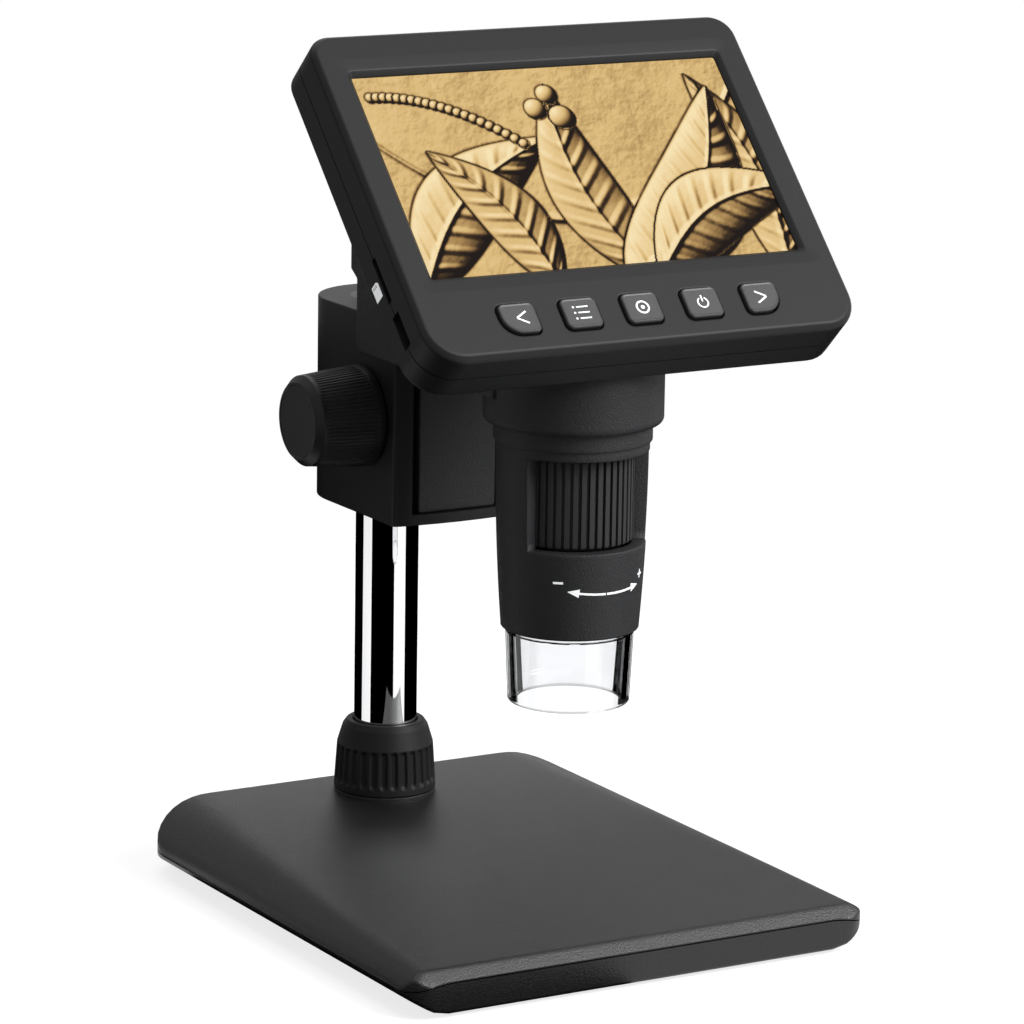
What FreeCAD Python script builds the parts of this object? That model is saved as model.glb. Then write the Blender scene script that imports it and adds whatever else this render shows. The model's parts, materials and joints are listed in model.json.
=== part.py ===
import FreeCAD, Part
import math
import os

os.makedirs("parts", exist_ok=True)

# Sizes in millimetres. The origin is the middle of the base's underside, on the surface it stands on.
# X is to the object's right, Y to its back and Z up. The screen looks to the front, which is -Y.

# Running and seating clearances
fit = 0.05
seat_gap = 0.1
ease = 0.3

# Base
base_width = 122.6
base_depth = 142.0
base_front_height = 10.6
base_back_height = 16.1
crown_height = 16.3
rim_height = 6.0
side_arc_radius = 34.0
rim_radius = 4.0
under_inset = 8.0
strip_drop = 2.8
strip_depth = 3.0
back_corner_radius = 15.0
front_corner_radius = 2.0
back_bow = 3.0
base_wall = 2.2
base_floor = 2.0
part_groove = 0.3
groove_depth = 0.9
ballast_width = 80.0
ballast_depth = 104.0
ballast_thickness = 3.0
foot_radius = 6.0
foot_proud = 0.7
foot_seat = 0.8
foot_inset_x = 17.0
foot_inset_y = 15.0
base_boss_radius = 3.2
base_boss_x = 48.0
base_boss_inset_y = 27.0
base_screw_radius = 1.2
base_screw_head_radius = 2.4
base_screw_head = 1.2
base_screw_length = 5.4
base_screw_hole = 5.0

# Column
column_radius = 7.75
column_wall = 1.4
column_y = 53.5
column_top = 176.0
column_socket_depth = 8.0
column_cap_height = 3.0
foot_plug_height = 14.0
bolt_radius = 3.0
bolt_head_radius = 5.2
bolt_head = 3.4
washer_thickness = 1.0
washer_radius = 7.5
bolt_socket_radius = 2.3
bolt_socket_depth = 2.0
end_cap_stub = 8.0
end_cap_round = 1.0

# Ribbed collar nut at the foot of the column
collar_radius = 12.65
collar_waist_radius = 11.95
collar_top_radius = 9.95
collar_height = 17.3
collar_rib_height = 11.6
collar_lip = 1.1
collar_rib_count = 30
collar_rib_depth = 0.55
spigot_radius = 10.2
spigot_height = 8.0
boss_rise = 0.2
collet_height = 6.0

# Bracket that rides on the column
bracket_radius = 17.4
bracket_bottom = 90.4
bracket_height = 49.4
shelf_height = 40.6
bracket_side_reach = 34.6
bracket_front_bow = 1.4
tower_reach = 19.0
panel_width = 21.0
panel_height = 31.5
panel_recess = 1.6
panel_thickness = 1.8
panel_bottom_lip = 2.6
panel_groove = 0.9
bush_outer_radius = 9.6
bush_height = 8.0
shelf_screw_radius = 1.5
shelf_screw_head_radius = 2.7
shelf_screw_head = 2.0
shelf_screw_length = 11.0
shelf_screw_sink = 8.0
shelf_screw_x = 12.6
shelf_screw_y = 6.5

# Height drive
shaft_radius = 3.0
shaft_reach = 19.5
shaft_height = 24.6
shaft_bush_radius = 5.0
shaft_bush_length = 6.0
roller_width = 8.0
roller_hub_radius = 8.5
roller_touch_gap = 0.3
knob_length = 17.6
knob_gap = 0.5
knob_root_radius = 12.25
knob_tip_radius = 10.9
knob_face_radius = 9.3
knob_chamfer = 1.7
knob_rib_count = 60
knob_rib_depth = 0.3

# Rear clamp screw
clamp_knob_radius = 7.0
clamp_knob_length = 7.5
clamp_screw_radius = 2.5
clamp_pad_thickness = 2.0
clamp_knob_lobes = 16

# Screen housing, in its own frame: x across, v up the face, n out of the face
screen_lean = 43.5
screen_centre_y = -33.6
screen_centre_z = 183.4
housing_top_radius = 6.0
housing_bottom_radius = 9.0
face_n = 1.5
part_n = -6.2
back_n = -13.0
face_chamfer = 1.2
back_chamfer = 0.9
housing_wall = 2.0
lcd_width = 104.0
lcd_height = 62.0
lcd_shift = -0.8
lcd_thickness = 3.2
lcd_drop = 2.0
lcd_side_border = 3.9
lcd_end_border = 3.5
window_bevel = 1.2
housing_side_margin = 4.2
housing_top_margin = 8.7
housing_chin = 9.2

# Five keys under the picture
key_count = 5
key_pitch = 15.8
key_drop = 8.7
key_width = 9.2
key_height = 7.8
key_proud = 0.9
key_corner = 1.6
key_end_corner = 4.6
key_gap = 0.35
key_travel = 0.8
key_flange = 1.0
key_switch_size = 4.0
key_stem_radius = 1.2
key_stem_height = 0.45
key_stem_gap = 0.15

# Boards, sockets and battery
board_side_gap = 5.2
board_low_gap = 1.2
board_high_gap = 9.4
board_thickness = 1.6
board_n = -7.6
foam_width = 2.0
foam_inset = 7.0
foam_socket_gap = 2.9
card_slot_rise = 27.0
card_slot_length = 11.6
card_slot_thickness = 1.7
dc_slot_rise = 13.4
dc_slot_length = 9.6
dc_slot_thickness = 3.2
socket_inset = 0.3
socket_depth = 9.0
socket_wall = 0.4
card_socket_length = 14.0
card_socket_depth = 12.0
card_play = 0.2
card_thickness = 1.0
supply_tongue = 5.2
battery_width = 34.0
battery_depth = 30.0
battery_height = 10.0
battery_tray_height = 6.2
battery_setback = 4.0
case_screw_radius = 1.1
case_boss_radius = 2.7
case_screw_high_inset = 7.2
case_screw_high_drop = 2.6
case_screw_low_inset = 10.5
case_screw_low_rise = 3.1
case_screw_head_radius = 2.0
case_screw_head = 1.2

# Rear body that carries the screen and the tube
rear_half_width = 21.5
rear_bottom = 131.2
rear_step_height = 18.6
rear_step = 3.0
rear_back_y = 31.0
rear_hump_height = 33.0
rear_top_v = 20.0
rear_wall = 2.2
rear_edge_radius = 2.4

# Tube under the screen
tube_y = -34.1
neck_radius = 20.8
neck_bottom = 124.6
neck_wall = 2.4
neck_edge = 1.6
step_radius = 18.3
step_bottom = 120.5
tube_top_radius = 17.7
tube_middle_radius = 17.28
tube_bottom_radius = 15.95
tube_bottom = 76.3
tube_wall = 2.0
wheel_window_bottom = 96.8
wheel_window_top = 118.2
wheel_window_angle = 66.0
wheel_inner_radius = 12.6
wheel_skin_gap = 1.4
wheel_end_gap = 0.5
wheel_rib_count = 46
wheel_rib_depth = 0.7
rail_radius = 11.6
rail_wall = 1.3
barrel_radius = 10.2
barrel_bore = 7.6
barrel_length = 15.0
barrel_bottom = 97.5
lens_thickness = 2.4
lens_lip = 1.2
lens_pitch = 7.0
sensor_board_radius = 13.0
sensor_board_z = 122.0
sensor_board_thickness = 1.4
sensor_chip = 8.0
led_board_z = 79.6
led_board_thickness = 1.2
led_board_bore = 6.0
led_count = 8
led_radius = 1.4
led_height = 1.6
led_circle = 9.4

# Clear cap on the end of the tube
cap_top_radius = 14.9
cap_bottom_radius = 14.1
cap_bottom = 58.7
cap_wall = 1.8
cap_plug_radius = 13.6
cap_plug_height = 3.0

# Oversize of the shapes that only cut others
cut_reach = 80.0
cut_side = 40.0

# Worked out from the sizes above
half_width = base_width / 2
half_depth = base_depth / 2
top_slope = (base_back_height - base_front_height) / base_depth
boss_top = base_front_height + top_slope * (half_depth + column_y + collar_radius) + boss_rise
under_z = foot_proud
floor_z = under_z + base_floor
column_bottom = boss_top - column_socket_depth
collar_bottom = boss_top + seat_gap
bracket_front = column_y - bracket_side_reach
shelf_top = bracket_bottom + shelf_height
tower_front = column_y - tower_reach
shaft_y = column_y - shaft_reach
shaft_z = bracket_bottom + shaft_height
roller_radius = shaft_reach - column_radius - roller_touch_gap
housing_half_width = lcd_width / 2 + housing_side_margin
housing_top = lcd_height / 2 + lcd_shift + housing_top_margin
key_v = lcd_shift - lcd_height / 2 - key_drop
housing_bottom = key_v - housing_chin
window_width = lcd_width - 2 * lcd_side_border
window_height = lcd_height - 2 * lcd_end_border
board_width = 2 * (housing_half_width - housing_wall - board_side_gap)
board_height = housing_top - housing_bottom - 2 * housing_wall - board_low_gap - board_high_gap
card_slot_v = housing_bottom + card_slot_rise
dc_slot_v = housing_bottom + dc_slot_rise
socket_x = -housing_half_width + housing_wall + socket_inset
foam_length = 2 * (-socket_x - card_socket_length - foam_socket_gap)
foam_place = lcd_height / 2 - foam_inset
case_screw_high_x = housing_half_width - case_screw_high_inset
case_screw_low_x = housing_half_width - case_screw_low_inset
key_middle = (key_count - 1) / 2
rear_front_y = tube_y
cap_seat = tube_bottom
rail_top = sensor_board_z - seat_gap
rail_bottom = led_board_z + led_board_thickness + seat_gap


def vec(x, y, z):
    return FreeCAD.Vector(x, y, z)


def save(shape, name):
    shape.removeSplitter().exportStep("parts/" + name + ".step")


def disc(radius, height, x, y, z, direction=(0, 0, 1)):
    return Part.makeCylinder(radius, height, vec(x, y, z), vec(*direction))


def ring(outer, inner, height, x, y, z, direction=(0, 0, 1)):
    body = disc(outer, height, x, y, z, direction)
    along = vec(*direction)
    start = vec(x, y, z) - along
    bore = Part.makeCylinder(inner, height + 2, start, along)
    return body.cut(bore)


def block(x0, x1, y0, y1, z0, z1):
    return Part.makeBox(x1 - x0, y1 - y0, z1 - z0, vec(x0, y0, z0))


def joined(shapes):
    whole = shapes[0]
    for shape in shapes[1:]:
        whole = whole.fuse(shape)
    return whole


def turned(points, x, y):
    """Solid of revolution about the upright line through x and y, from (radius, height) corners."""
    corners = [vec(x + radius, y, height) for radius, height in points]
    outline = Part.makePolygon(corners + [corners[0]])
    return Part.Face(outline).revolve(vec(x, y, 0), vec(0, 0, 1), 360)


def arc(a, b, c):
    return Part.Arc(a, b, c).toShape()


def line(a, b):
    return Part.LineSegment(a, b).toShape()


def prism(edges, direction):
    face = Part.Face(Part.Wire(edges))
    return face.extrude(direction)


def polygon_prism(points, direction):
    face = Part.Face(Part.makePolygon(points + [points[0]]))
    return face.extrude(direction)


def rounded_plate(x0, x1, y0, y1, z0, z1, low_radius, high_radius):
    """Upright plate whose corners at y0 have low_radius and at y1 have high_radius."""
    k = 1 - math.sqrt(0.5)
    a = low_radius
    b = high_radius
    edges = [
        line(vec(x0 + a, y0, z0), vec(x1 - a, y0, z0)),
        arc(vec(x1 - a, y0, z0), vec(x1 - a * k, y0 + a * k, z0), vec(x1, y0 + a, z0)),
        line(vec(x1, y0 + a, z0), vec(x1, y1 - b, z0)),
        arc(vec(x1, y1 - b, z0), vec(x1 - b * k, y1 - b * k, z0), vec(x1 - b, y1, z0)),
        line(vec(x1 - b, y1, z0), vec(x0 + b, y1, z0)),
        arc(vec(x0 + b, y1, z0), vec(x0 + b * k, y1 - b * k, z0), vec(x0, y1 - b, z0)),
        line(vec(x0, y1 - b, z0), vec(x0, y0 + a, z0)),
        arc(vec(x0, y0 + a, z0), vec(x0 + a * k, y0 + a * k, z0), vec(x0 + a, y0, z0)),
    ]
    return prism(edges, vec(0, 0, z1 - z0))


def surface_height(y, inset):
    return base_front_height + top_slope * (y + half_depth) - inset


def side_profile(inset):
    """End view of the base: flat crown, long side arcs, a small round at the rim, a rounded underside."""
    hw = half_width - inset
    top = crown_height - inset
    big = side_arc_radius - inset
    small = max(rim_radius - inset, 0.8)
    bottom = under_z if inset == 0 else floor_z
    rise = rim_height - (top - big)
    run = math.sqrt((big - small) ** 2 - rise ** 2)
    flat = hw - small - run
    share = big / (big - small)
    meet_x = flat + run * share
    meet_z = top - big + rise * share
    y = -half_depth - 1
    half_angle = math.atan2(run, rise) / 2
    mid = vec(flat + big * math.sin(half_angle), y, top - big + big * math.cos(half_angle))
    rim_angle = math.atan2(rise, run) / 2
    tip_mid = vec(hw - small + small * math.cos(rim_angle), y, rim_height + small * math.sin(rim_angle))
    under_mid = vec(hw - under_inset * 0.36, y, bottom + (rim_height - bottom) * 0.36)

    def mirror(point):
        return vec(-point.x, point.y, point.z)

    right = [vec(flat, y, top), mid, vec(meet_x, y, meet_z), tip_mid, vec(hw, y, rim_height),
             under_mid, vec(hw - under_inset, y, bottom)]
    left = [mirror(point) for point in right]
    edges = [
        line(left[0], right[0]),
        arc(right[0], right[1], right[2]),
        arc(right[2], right[3], right[4]),
        arc(right[4], right[5], right[6]),
        line(right[6], left[6]),
        arc(left[6], left[5], left[4]),
        arc(left[4], left[3], left[2]),
        arc(left[2], left[1], left[0]),
    ]
    return prism(edges, vec(0, base_depth + 2, 0))


def plan_outline(inset):
    """Plan of the base: straight front and sides, rounded back corners and a faintly bowed back."""
    hw = half_width - inset
    front = -half_depth + inset
    back = half_depth - inset
    r = back_corner_radius - inset
    f = max(front_corner_radius - inset, 0.6)
    k = 1 - math.sqrt(0.5)
    shoulder = back - back_bow
    edges = [
        line(vec(-hw + f, front, 0), vec(hw - f, front, 0)),
        arc(vec(hw - f, front, 0), vec(hw - f * k, front + f * k, 0), vec(hw, front + f, 0)),
        line(vec(hw, front + f, 0), vec(hw, shoulder - r, 0)),
        arc(vec(hw, shoulder - r, 0), vec(hw - r * k, shoulder - r * k, 0), vec(hw - r, shoulder, 0)),
        arc(vec(hw - r, shoulder, 0), vec(0, back, 0), vec(-hw + r, shoulder, 0)),
        arc(vec(-hw + r, shoulder, 0), vec(-hw + r * k, shoulder - r * k, 0), vec(-hw, shoulder - r, 0)),
        line(vec(-hw, shoulder - r, 0), vec(-hw, front + f, 0)),
        arc(vec(-hw, front + f, 0), vec(-hw + f * k, front + f * k, 0), vec(-hw + f, front, 0)),
    ]
    return prism(edges, vec(0, 0, crown_height + 2))


def base_form(inset):
    """The whole base as one closed form, drawn in by inset on every side."""
    below = under_z if inset == 0 else floor_z
    front = -half_depth + inset
    back = half_depth - inset
    x = -half_width - 1
    corners = [
        (front, below),
        (back, below),
        (back, surface_height(back, inset) - strip_drop),
        (back - strip_depth, surface_height(back - strip_depth, inset)),
        (front + strip_depth, surface_height(front + strip_depth, inset)),
        (front, surface_height(front, inset) - strip_drop),
    ]
    wedge = polygon_prism([vec(x, y, z) for y, z in corners], vec(base_width + 2, 0, 0))
    return side_profile(inset).common(wedge).common(plan_outline(inset))


def lower_zone(lift):
    """All space under the line where the two base shells meet, raised by lift."""
    middle_z = base_front_height - strip_drop + lift
    shoulder = half_width - under_inset
    y = -half_depth - 2
    points = [
        vec(-half_width - 3, y, -3),
        vec(half_width + 3, y, -3),
        vec(half_width + 3, y, rim_height + lift),
        vec(half_width, y, rim_height + lift),
        vec(shoulder, y, middle_z),
        vec(-shoulder, y, middle_z),
        vec(-half_width, y, rim_height + lift),
        vec(-half_width - 3, y, rim_height + lift),
    ]
    return polygon_prism(points, vec(0, base_depth + 4, 0))


def base_boss_places():
    rows = [base_boss_inset_y - half_depth, 0, half_depth - base_boss_inset_y]
    return [(side * base_boss_x, y) for y in rows for side in (-1, 1)]


def foot_places():
    x = half_width - foot_inset_x
    y = half_depth - foot_inset_y
    return [(sx * x, sy * y) for sx in (-1, 1) for sy in (-1, 1)]


def base_shells():
    outer = base_form(0)
    inner = base_form(base_wall)
    lower = lower_zone(0)
    meeting_z = base_front_height - strip_drop
    boss_join = floor_z + seat_gap

    top = outer.cut(inner).cut(lower)
    groove = lower_zone(part_groove).cut(base_form(groove_depth))
    top = top.cut(groove)
    spigot_top = boss_top + spigot_height
    boss = disc(collar_radius, boss_top - boss_join, 0, column_y, boss_join)
    spigot = disc(spigot_radius, spigot_height, 0, column_y, boss_top)
    top = joined([top, boss, spigot])
    post_tops = [surface_height(y, base_wall * 0.5) for x, y in base_boss_places()]
    posts = [disc(base_boss_radius, post_top - boss_join, x, y, boss_join)
             for (x, y), post_top in zip(base_boss_places(), post_tops)]
    top = top.fuse(joined([post.common(outer) for post in posts]))
    top = top.cut(disc(column_radius + fit, spigot_top, 0, column_y, column_bottom))
    top = top.cut(disc(bolt_radius + ease, column_bottom + 1, 0, column_y, 0))
    for x, y in base_boss_places():
        top = top.cut(disc(base_screw_radius, base_screw_hole, x, y, boss_join - 1))

    bottom = outer.common(lower).cut(inner)
    rim_top = meeting_z + 1.2
    bottom = bottom.cut(disc(bolt_head_radius + ease + 0.3, under_z + bolt_head, 0, column_y, 0))
    well_height = under_z + bolt_head + washer_thickness + ease
    for x, y in base_boss_places():
        bottom = bottom.cut(disc(base_screw_radius + ease, rim_top, x, y, 0))
        bottom = bottom.cut(disc(base_screw_head_radius + ease, base_screw_head + 2 * ease, x, y, under_z - 0.01))
    for x, y in foot_places():
        bottom = bottom.cut(disc(foot_radius + fit, foot_seat, x, y, under_z - 0.01))
    top = top.cut(disc(washer_radius + ease, well_height - boss_join + 0.01, 0, column_y, boss_join - 0.01))
    save(top, "base_top_shell")
    save(bottom, "base_bottom_shell")


def base_insides():
    plate_front = -half_depth + base_wall + 17
    plate = rounded_plate(-ballast_width / 2, ballast_width / 2, plate_front, plate_front + ballast_depth,
                          floor_z, floor_z + ballast_thickness, 4, 4)
    washer_hole = disc(collar_radius + 1.2, ballast_thickness + 2, 0, column_y, floor_z - 1)
    save(plate.cut(washer_hole), "base_ballast_plate")

    feet = [disc(foot_radius, foot_proud + foot_seat - 0.01, x, y, 0) for x, y in foot_places()]
    save(Part.makeCompound(feet), "base_feet")

    screws = []
    for x, y in base_boss_places():
        head = disc(base_screw_head_radius, base_screw_head, x, y, under_z + ease)
        shank = disc(base_screw_radius - fit, base_screw_length, x, y, under_z + ease)
        screws.append(head.fuse(shank))
    save(Part.makeCompound(screws), "base_screws")


def column_pieces():
    tube = ring(column_radius, column_radius - column_wall, column_top - column_bottom, 0, column_y, column_bottom)
    save(tube, "column_tube")

    plug = disc(column_radius - column_wall - fit, foot_plug_height, 0, column_y, column_bottom)
    plug = plug.cut(disc(bolt_radius, foot_plug_height - 2, 0, column_y, column_bottom))
    save(plug, "column_foot_plug")

    head_z = under_z + 0.3
    head = disc(bolt_head_radius, bolt_head, 0, column_y, head_z)
    shank = disc(bolt_radius - fit, column_bottom + foot_plug_height - 4 - head_z, 0, column_y, head_z)
    socket = disc(bolt_socket_radius, bolt_socket_depth, 0, column_y, head_z)
    save(head.fuse(shank).cut(socket), "column_bolt")
    washer_z = head_z + bolt_head
    washer = ring(washer_radius, bolt_radius + 0.1, washer_thickness, 0, column_y, washer_z)
    save(washer, "column_washer")

    lid = disc(column_radius, column_cap_height, 0, column_y, column_top)
    lid = lid.makeFillet(end_cap_round, [edge for edge in lid.Edges if edge.BoundBox.ZMin > column_top + 0.1
                               and edge.BoundBox.ZLength < 0.1])
    stub = disc(column_radius - column_wall - fit, end_cap_stub, 0, column_y, column_top - end_cap_stub)
    save(lid.fuse(stub), "column_end_cap")


def collar_pieces():
    z = collar_bottom
    shoulder_z = z + collar_rib_height
    top_z = z + collar_height
    bore = column_radius + ease
    body = turned([
        (spigot_radius + fit, z),
        (collar_radius, z),
        (collar_radius, z + collar_lip),
        (collar_waist_radius + 0.35, shoulder_z),
        (collar_waist_radius - 0.2, shoulder_z + 0.5),
        (collar_top_radius + 0.5, top_z - 0.9),
        (collar_top_radius - 0.5, top_z),
        (bore, top_z),
        (bore, top_z - 1.6),
        (spigot_radius + fit, z + spigot_height + collet_height - 1.2),
    ], 0, column_y)
    cutters = []
    rib_pitch = 360.0 / collar_rib_count
    notch = 2 * math.pi * collar_radius / collar_rib_count * 0.36
    for i in range(collar_rib_count):
        cutter = Part.makeBox(collar_rib_depth * 3, notch, collar_rib_height - collar_lip - 0.8,
                              vec(collar_radius - collar_rib_depth - 0.25, -notch / 2, z + collar_lip))
        cutter.rotate(vec(0, 0, 0), vec(0, 0, 1), i * rib_pitch)
        cutter.translate(vec(0, column_y, 0))
        cutters.append(cutter)
    save(body.cut(Part.makeCompound(cutters)), "collar_nut")

    collet_z = boss_top + spigot_height + seat_gap
    collet = turned([
        (column_radius + fit, collet_z),
        (spigot_radius - 0.4, collet_z),
        (column_radius + 0.9, collet_z + collet_height),
        (column_radius + fit, collet_z + collet_height),
    ], 0, column_y)
    slit = block(-0.5, 0.5, column_y, column_y + 14, collet_z - 1, collet_z + collet_height + 1)
    save(collet.cut(slit), "collar_collet")


def bracket_plan(inset, front, z0, z1):
    """D-shaped plan: round behind the column, flat sides, and a faintly bowed front face."""
    r = bracket_radius - inset
    bow = bracket_front_bow if front <= bracket_front else 0
    edges = [
        arc(vec(-r, column_y, z0), vec(0, column_y + r, z0), vec(r, column_y, z0)),
        line(vec(r, column_y, z0), vec(r, front, z0)),
        line(vec(-r, front, z0), vec(-r, column_y, z0)),
    ]
    if bow:
        edges.insert(2, arc(vec(r, front, z0), vec(0, front - bow, z0), vec(-r, front, z0)))
    else:
        edges.insert(2, line(vec(r, front, z0), vec(-r, front, z0)))
    return prism(edges, vec(0, 0, z1 - z0))


def bracket_pieces():
    top = bracket_bottom + bracket_height
    low = bracket_plan(0, bracket_front, bracket_bottom, shelf_top)
    high = bracket_plan(0, tower_front, shelf_top - 0.5, top)
    body = low.fuse(high)
    mid_bore = column_radius + 0.8
    body = body.cut(disc(mid_bore, bracket_height + 2, 0, column_y, bracket_bottom - 1))
    for z in (bracket_bottom, top - bush_height):
        body = body.cut(disc(bush_outer_radius, bush_height, 0, column_y, z))

    face_y = bracket_front - bracket_front_bow
    panel_z = bracket_bottom + panel_bottom_lip
    seat_y = face_y + panel_recess + panel_thickness + seat_gap
    half = panel_width / 2
    recess = block(-half - panel_groove, half + panel_groove, face_y - 3, seat_y, panel_z, panel_z + panel_height)
    pocket_half = roller_width / 2 + 1.2
    pocket = block(-pocket_half, pocket_half, seat_y - 1, column_y - 4, shaft_z - roller_radius - 1.0,
                   shaft_z + roller_radius + 1.0)
    body = body.cut(recess).cut(pocket)
    wall_x = bracket_radius - shaft_bush_length
    for side in (-1, 1):
        start = side * wall_x if side > 0 else -bracket_radius
        body = body.cut(disc(shaft_bush_radius, shaft_bush_length, start, shaft_y, shaft_z, (1, 0, 0)))
    body = body.cut(disc(shaft_radius + ease, 2 * bracket_radius, -bracket_radius, shaft_y, shaft_z, (1, 0, 0)))
    body = body.cut(disc(clamp_screw_radius + fit, 20, 0, column_y + 5, shaft_z, (0, 1, 0)))
    body = body.cut(disc(clamp_screw_radius + 1.0, 6, 0, column_y + 5, shaft_z, (0, 1, 0)))
    for x, y in shelf_screw_places():
        well_top = shelf_top - shelf_screw_sink + shelf_screw_head
        body = body.cut(disc(shelf_screw_radius + ease, shelf_height, x, y, well_top - 1))
        body = body.cut(disc(shelf_screw_head_radius + ease, shelf_height, x, y, well_top - shelf_height))
    save(body, "bracket_body")

    panel = block(-half, half, face_y + panel_recess, face_y + panel_recess + panel_thickness,
                  panel_z + seat_gap, panel_z + panel_height - seat_gap)
    save(panel, "bracket_front_panel")

    bushes = [ring(bush_outer_radius, column_radius + fit, bush_height, 0, column_y, z)
              for z in (bracket_bottom, top - bush_height)]
    save(Part.makeCompound(bushes), "guide_bushes")
    shaft_bushes = [ring(shaft_bush_radius, shaft_radius + fit, shaft_bush_length, x, shaft_y, shaft_z, (1, 0, 0))
                    for x in (-bracket_radius, wall_x)]
    save(Part.makeCompound(shaft_bushes), "shaft_bushes")

    screws = []
    for x, y in shelf_screw_places():
        head = disc(shelf_screw_head_radius, shelf_screw_head, x, y, shelf_top - shelf_screw_sink)
        shank = disc(shelf_screw_radius, shelf_screw_length, x, y, shelf_top - shelf_screw_sink)
        screws.append(head.fuse(shank))
    save(Part.makeCompound(screws), "shelf_screws")


def shelf_screw_places():
    return [(side * shelf_screw_x, bracket_front + shelf_screw_y) for side in (-1, 1)]


def drive_pieces():
    half_length = bracket_radius + knob_gap + knob_length - 4
    shaft = disc(shaft_radius, 2 * half_length, -half_length, shaft_y, shaft_z, (1, 0, 0))
    save(shaft, "drive_shaft")
    half = roller_width / 2
    save(ring(roller_hub_radius, shaft_radius, roller_width, -half, shaft_y, shaft_z, (1, 0, 0)), "roller_hub")
    save(ring(roller_radius, roller_hub_radius, roller_width, -half, shaft_y, shaft_z, (1, 0, 0)), "roller_tyre")
    for name, side in (("drive_knob_left", -1), ("drive_knob_right", 1)):
        save(drive_knob(side), name)


def drive_knob(side):
    """Tapered knob with fine ribs: its wide end faces the bracket and its face is a shallow dish."""
    root = bracket_radius + knob_gap
    points = [
        (shaft_radius, 0.0),
        (knob_root_radius, 0.0),
        (knob_root_radius, 1.2),
        (knob_tip_radius, knob_length - knob_chamfer),
        (knob_face_radius, knob_length),
        (knob_face_radius - 1.2, knob_length),
        (knob_face_radius - 1.6, knob_length - 0.3),
        (0, knob_length - 0.3),
        (0, knob_length - 4),
        (shaft_radius, knob_length - 4),
    ]
    body = turned(points, 0, 0)
    cutters = []
    pitch = 360.0 / knob_rib_count
    width = 2 * math.pi * knob_tip_radius / knob_rib_count * 0.45
    lean = math.degrees(math.atan2(knob_root_radius - knob_tip_radius, knob_length - knob_chamfer - 1.2))
    for i in range(knob_rib_count):
        cutter = Part.makeBox(knob_rib_depth * 3, width, knob_length - knob_chamfer - 3.6,
                              vec(0, -width / 2, 0))
        cutter.rotate(vec(0, 0, 0), vec(0, 1, 0), -lean)
        cutter.translate(vec(knob_root_radius - knob_rib_depth, 0, 2.0))
        cutter.rotate(vec(0, 0, 0), vec(0, 0, 1), i * pitch)
        cutters.append(cutter)
    body = body.cut(Part.makeCompound(cutters))
    body.rotate(vec(0, 0, 0), vec(0, 1, 0), side * 90)
    body.translate(vec(side * root, shaft_y, shaft_z))
    return body


def clamp_pieces():
    outer_y = column_y + bracket_radius + ease
    knob = disc(clamp_knob_radius, clamp_knob_length, 0, outer_y, shaft_z, (0, 1, 0))
    flutes = []
    for i in range(clamp_knob_lobes):
        angle = 2 * math.pi * i / clamp_knob_lobes
        x = (clamp_knob_radius + 0.5) * math.cos(angle)
        z = shaft_z + (clamp_knob_radius + 0.5) * math.sin(angle)
        flutes.append(disc(0.9, clamp_knob_length + 2, x, outer_y - 1, z, (0, 1, 0)))
    knob = knob.cut(Part.makeCompound(flutes))
    knob = knob.cut(disc(clamp_screw_radius, clamp_knob_length - 2, 0, outer_y, shaft_z, (0, 1, 0)))
    save(knob, "clamp_knob")
    tip_y = column_y + column_radius + clamp_pad_thickness + 0.4
    screw = disc(clamp_screw_radius, outer_y + clamp_knob_length - 2 - tip_y, 0, tip_y, shaft_z, (0, 1, 0))
    save(screw, "clamp_screw")
    pad = disc(clamp_screw_radius + 0.7, clamp_pad_thickness + 1.2, 0, tip_y - 0.1 - clamp_pad_thickness - 1.2,
               shaft_z, (0, 1, 0))
    save(pad.cut(disc(column_radius + 0.15, 20, 0, column_y, shaft_z - 10)), "clamp_pad")


def to_screen(shape):
    """Moves a shape from the screen's own frame to its place on the object."""
    shape.rotate(vec(0, 0, 0), vec(1, 0, 0), 90 - screen_lean)
    shape.translate(vec(0, screen_centre_y, screen_centre_z))
    return shape


def housing_plate(n0, n1, inset):
    return rounded_plate(-housing_half_width + inset, housing_half_width - inset, housing_bottom + inset,
                         housing_top - inset, n0, n1, housing_bottom_radius - inset,
                         housing_top_radius - inset)


def housing_edge(n0, n1, inset0, inset1):
    """Tapered ring of housing between two levels, for the chamfers at the face and the back."""
    wires = [housing_plate(n, n + 1, inset).Faces for n, inset in ((n0, inset0), (n1, inset1))]
    outlines = []
    for faces, n in zip(wires, (n0, n1)):
        flat = [face for face in faces if abs(face.BoundBox.ZMin - n) < 0.001 and face.BoundBox.ZLength < 0.001]
        outlines.append(flat[0].OuterWire)
    return Part.makeLoft(outlines, True, True)


def key_x(index):
    return (index - key_middle) * key_pitch


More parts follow.
